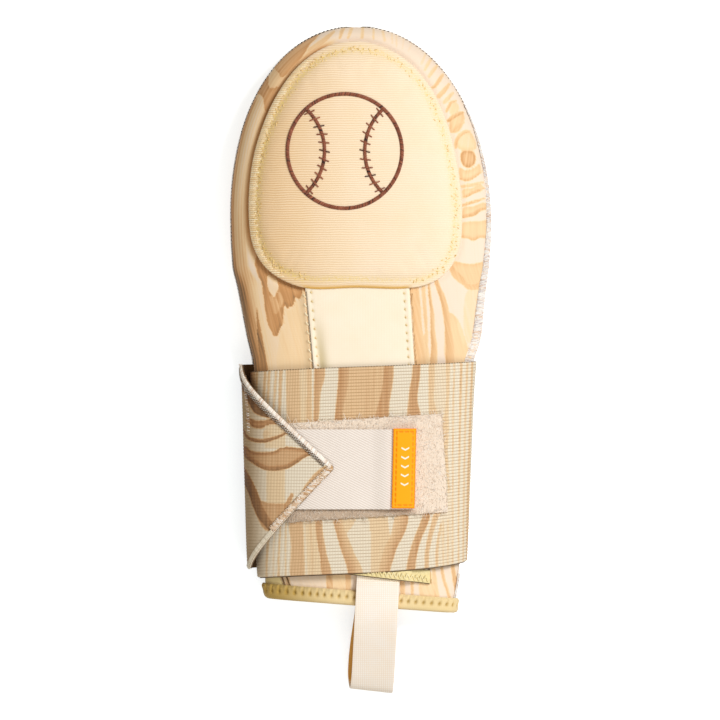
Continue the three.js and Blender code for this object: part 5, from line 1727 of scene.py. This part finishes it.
class MITT_OT_knuckle_pad(bpy.types.Operator):
    """Makes the swollen knit pad over the knuckles, its stitched edge and its embroidery"""

    bl_idname = "mitt.knuckle_pad"
    bl_label = "Knuckle pad"

    def execute(self, context):
        sizes = context.scene.mitt_sizes
        radius = sizes.thread / MM
        pad = knuckle_pad(rib_knit(), sizes.swelling)
        ready(pad, ["knuckle_pad"])
        ground = seat(pad)
        rim = smooth_path(PAD_OUTLINE, 1.0, closed=True)[::-1]
        rim = np.roll(rim[:-1], -int(np.argmin(np.hypot(rim[:-1, 0] - 24, rim[:-1, 1] - 35.6))), axis=0)
        sewn = rim[pad_banded(rim[:, 0], rim[:, 1]) > 0.5]
        rib_ends(ground, rim, yarn("cream polyester thread"))
        needle_points(ground, sewn, radius)
        # Dark thread along the foot of the pad's left side and lower edge, laid as painted shadow of the pad.
        foot = offset_path(sewn, 0.75)
        foot = foot[(foot[:, 0] < -9) | (foot[:, 1] < 40)]
        parts = np.split(foot, np.flatnonzero(np.linalg.norm(np.diff(foot, axis=0), axis=1) > 3) + 1)
        back = seat(bpy.data.objects["back_cover"])
        for number, part in enumerate(parts):
            if len(part) > 3:
                running(f"pad_foot_shadow_thread_{number + 1}", back, part, 1.25, 1.45, 0.12, radius * 1.9,
                        yarn("dark seam and shadow thread"), "knit_fabric", raise_by=0.2)
        ring, seams = ball_motif()
        brown = yarn("brown polyester thread")
        stitched("embroidered_ring", ground, ring, (-0.8, 0.8), 0.42, 0.55, radius * 1.1, brown,
                 0.7)
        for number, seam in enumerate(seams):
            stitched(f"embroidered_seam_{number + 1}", ground, seam, (-0.7, 0.7), 0.42, 0.5, radius * 1.1,
                     brown, 0.7)
            stitched(f"embroidered_ticks_{number + 1}", ground, seam[3:-3], (-2.6, 2.6), 4.2, 0.35,
                     radius * 1.5, brown, 1.4)
        return {"FINISHED"}


class MITT_OT_cuff(bpy.types.Operator):
    """Makes the folded tape round the hem and its seam"""

    bl_idname = "mitt.cuff"
    bl_label = "Cuff binding"

    def execute(self, context):
        # Folded knitted tape: a matt face, with painted shade in the dimples and creases where the zigzag
        # seam presses it in, and towards its left end.
        tape = plain_cloth("folded cuff tape", "#F4E0B4", "#E9D29C", 0.9, 0.9, marked=("groove", "#B89A50"),
                           sheen=0.2, distance=0.08)
        ready(cuff_binding(tape), ["cuff_binding"])
        # Brown strands laid in the two folds beside the gusset, as painted shade of the folds.
        shadowed = yarn("brown fold shadow thread")
        y = np.linspace(-100, -118, 17)
        for number, aside in enumerate((0.012, 0.038)):
            fold = hemmed(gusset_border("back", y) - aside, y, grown(0.1))
            up = normals(np.stack([fold, fold + (1, 0, 0)]))[0] * 0.1
            threads(f"cuff_fold_{number + 1}", fold[:-1], fold[1:], up[:-1], 0.42, shadowed)
        return {"FINISHED"}


class MITT_OT_strap(bpy.types.Operator):
    """Makes the ribbed elastic strap and the thread along its edges"""

    bl_idname = "mitt.strap"
    bl_label = "Wrist strap"

    def execute(self, context):
        radius = context.scene.mitt_sizes.thread / MM
        # The strap's inner face is painted dark brown, as shade inside its wrap and fold.
        cloth_face = ribbed_elastic(elastic_tones(), linear("#8A745A"))
        elastic, stations = wrist_strap(cloth_face)
        ready(elastic, ["wrist_strap"])
        # Overlock on the point's cut edges: a pale rolled cord above, tan and white chain stitches below.
        pale, chain, dark = yarn("pale overlock yarn"), yarn("tan and white yarn"), yarn("dark seam and shadow thread")
        upper = edge_frames(stations, "top", 1.5, 57, 0.5)
        edge_threads("point_rolled_edge", upper, (1.7, -0.2), 0.7, 0.5, radius * 1.25, pale)
        upper = edge_frames(stations, "top", 3, 54, 1.9)
        for name, slant, tone in (("a", 1.1, dark), ("b", -1.1, dark), ("c", 1.5, pale)):
            edge_threads(f"point_inner_stitches_{name}", upper, (1.5, 3.4), slant, 0.5, radius * 0.9, tone)
        for name, slant, reach, pitch in (("a", 1.3, (3.1, 0.9), 1.13), ("bb", -1.5, (2.6, 0.3), 0.92),
                                          ("ccc", 0.9, (1.4, -0.2), 1.31), ("dddd", -0.7, (3.3, 1.9), 1.6)):
            lower = edge_frames(stations, "bottom", 1.5, 30.5, pitch)
            edge_threads(f"point_chain_{name}", lower, reach, slant, 0.4, radius, chain)
        lower = edge_frames(stations, "bottom", 30.5, 52, 0.6)
        edge_threads("point_curled_edge", lower, (1.9, -0.2), 0.5, 0.3, radius * 1.25,
                     yarn("greyed cream yarn"))
        s = np.linspace(0.96, 0.035, 200)
        high, low = strap_edges(s, s + 99)[0]
        # Short dark ticks run along the top edge; along the bottom edge a dark strand is laid as painted
        # shadow under the strap.
        for name, y, over, share, thick in (("top", high, 1.3, 0.5, 0.16),
                                            ("bottom", low - 0.15, 0.4, 1.0, 0.3)):
            line = spaced(strap_point(s, y, over), 1.4)
            ends = line[:-1] + (line[1:] - line[:-1]) * share
            threads(f"strap_{name}_edge", line[:-1], ends, line[1:] * 0 + (0, 0, 0.05), thick, dark)
        bend = smooth_path([(-57.9, -8), (-57.7, -13), (-57.1, -20), (-56.3, -27.5), (-56, -36)], 1.0)
        stitched("bend_stitches", seat(elastic), bend, (-0.6, 0.6), 0.85, 0.2, radius * 0.8, chain,
                 0.5)
        return {"FINISHED"}


class MITT_OT_fastener(bpy.types.Operator):
    """Makes the loop patch, the hook tab and the rubber pull tag"""

    bl_idname = "mitt.fastener"
    bl_label = "Fastener"

    def execute(self, context):
        # Brushed nylon loops: a matt fleece, pale and soft because its fibres scatter the light.
        # Its marked colour is painted shade just under the tab's lower edge.
        fleece = plain_cloth("brushed loop nylon", "#F9EDE0", "#EFDDCA", 0.8, 0.7, clouds=2.5, rough=0.95,
                             sheen=0.5, distance=0.3, marked=("groove", "#C9B49F"))
        patch = ready(loop_patch(fleece), ["loop_patch"])
        patch_fibres(seat(patch), yarn("loop nylon fibre", rough=0.7))
        ready(hook_tab(twill()), ["hook_tab"])
        ready(pull_tag(tag_rubber(context.scene.mitt_colours.tag[:])), ["pull_tag"])
        return {"FINISHED"}


class MITT_OT_pull_loop(bpy.types.Operator):
    """Makes the webbing loop below the cuff"""

    bl_idname = "mitt.pull_loop"
    bl_label = "Pull loop"

    def execute(self, context):
        # Grosgrain webbing: fine ribs across its length and a soft matt face, with painted shade in its pits
        # and painted ochre shade on the leg turned under.
        webbing = plain_cloth("cotton grosgrain webbing", "#FFFFFF", "#FFF6EA", 1.05, 0.95,
                              marked=("back", "#E2AE5A"), pits=(0.42, "#F2DECA"), sheen=0.2, distance=0.08)
        ready(pull_loop(webbing), ["pull_loop"])
        return {"FINISHED"}


class MITT_OT_seams(bpy.types.Operator):
    """Sews the overlock over both side seams"""

    bl_idname = "mitt.seams"
    bl_label = "Side seams"

    def execute(self, context):
        radius = context.scene.mitt_sizes.thread / MM
        under_strap = (-103, -2)
        for number, (slant, pitch, bow) in enumerate(((0.5, 0.55, 0.3), (-0.6, 0.6, 0.4), (0.1, 0.9, 0.5))):
            for part, span, reach in (("", (-2, 128), 4.4 - number * 0.5), ("_low", (-119, -103), 1.2)):
                overlock(f"right_overlock_{number + 1}{part}", right_seam, span, pitch, (reach, 1.8), slant,
                         bow, radius * 0.7, yarn("overlock thread"))
        left = lambda y: gusset_border("back", y)
        speckled, twisted = yarn("brown and white thread"), yarn("black and white thread")
        overlock("left_overlock", left, (-60, 113), 1.0, (1.2, 1.6), 0.4, 0.3, radius * 0.9, speckled,
                 under_strap)
        overlock("tip_overlock_left", left, (113, 166.6), 1.15, (0.7, 0.7), 1.0, 0.3, radius * 1.25, twisted,
                 twist=True)
        greyed = yarn("grey and white thread")
        for name, span, tone in (("tip", (164.5, 166.6), twisted), ("side", (128, 164.5), greyed)):
            overlock(f"{name}_overlock_right", right_seam, span, 1.15, (0.7, 0.7), -1.0, 0.3, radius * 1.25,
                     tone, twist=True)
        return {"FINISHED"}


# Each lamp's name, place in metres, size and power.
LIGHTS = (("key", (1.15, 0.75, 1.6), 0.8, 28.0), ("fill", (0.2, -1.45, 1.35), 1.3, 9.5))


class MITT_OT_stage(bpy.types.Operator):
    """Sets the floor, the soft studio lights and the camera over the mitt"""

    bl_idname = "mitt.stage"
    bl_label = "Stage"

    def execute(self, context):
        scene = context.scene
        floor = bpy.data.meshes.new("floor")
        floor.from_pydata([(-6, -6, 0), (6, -6, 0), (6, 6, 0), (-6, 6, 0)], [], [(0, 1, 2, 3)])
        sheet = placed("floor", floor)
        sheet.location.z = -0.0002
        # Backlit studio paper: an even pale face without gloss, in which shadows almost vanish.
        paper, tree = new_material("matt studio paper")
        shader = add(tree, "ShaderNodeBsdfPrincipled", {
            "Base Color": scene.mitt_colours.floor[:], "Roughness": 0.95, "Specular IOR Level": 0.1,
            "Emission Color": (0.8, 0.9, 1, 1), "Emission Strength": 0.62})
        add(tree, "ShaderNodeOutputMaterial", {"Surface": shader})
        floor.materials.append(paper)
        sheet.visible_diffuse = False
        world = bpy.data.worlds.new("soft room")
        world.use_nodes = True
        world.node_tree.nodes.clear()
        glow = add(world.node_tree, "ShaderNodeBackground", {"Color": (1, 0.9, 0.74, 1), "Strength": 0.455})
        add(world.node_tree, "ShaderNodeOutputWorld", {"Surface": glow})
        scene.world = world
        for name, where, size, power in LIGHTS:
            light = bpy.data.lights.new(name, "AREA")
            light.shape, light.size, light.energy = "DISK", size, power
            lamp = placed(name, light)
            lamp.location = where
            lamp.rotation_euler = (-Vector(where)).to_track_quat("-Z", "Y").to_euler()
        scene.view_settings.view_transform = "Standard"
        lens = bpy.data.cameras.new("camera")
        height = scene.mitt_sizes.camera
        lens.sensor_width, lens.lens = 36, 36 * height / 0.36
        lens.clip_start, lens.clip_end = 0.1, 50
        camera = placed("camera", lens)
        camera.location = (-0.0004, 0, height + 0.0175)
        scene.camera = camera
        return {"FINISHED"}


STEPS = (MITT_OT_stage, MITT_OT_covers, MITT_OT_panel, MITT_OT_knuckle_pad, MITT_OT_cuff, MITT_OT_strap,
         MITT_OT_fastener, MITT_OT_pull_loop, MITT_OT_seams)


class MITT_PT_sidebar(bpy.types.Panel):
    """Lists the mitt's steps in the 3D view's sidebar"""

    bl_label = "Sliding Mitt"
    bl_space_type = "VIEW_3D"
    bl_region_type = "UI"
    bl_category = "Mitt"

    def draw(self, context):
        for step in STEPS:
            self.layout.operator(step.bl_idname)


CLASSES = (MittColours, MittSizes, *STEPS, MITT_PT_sidebar)


def register():
    for kind in CLASSES:
        bpy.utils.register_class(kind)
    bpy.types.Scene.mitt_colours = bpy.props.PointerProperty(type=MittColours)
    bpy.types.Scene.mitt_sizes = bpy.props.PointerProperty(type=MittSizes)


def unregister():
    del bpy.types.Scene.mitt_colours
    del bpy.types.Scene.mitt_sizes
    for kind in reversed(CLASSES):
        bpy.utils.unregister_class(kind)


def main():
    register()
    for step in STEPS:
        group, name = step.bl_idname.split(".")
        getattr(getattr(bpy.ops, group), name)()


if __name__ == "__main__":
    main()
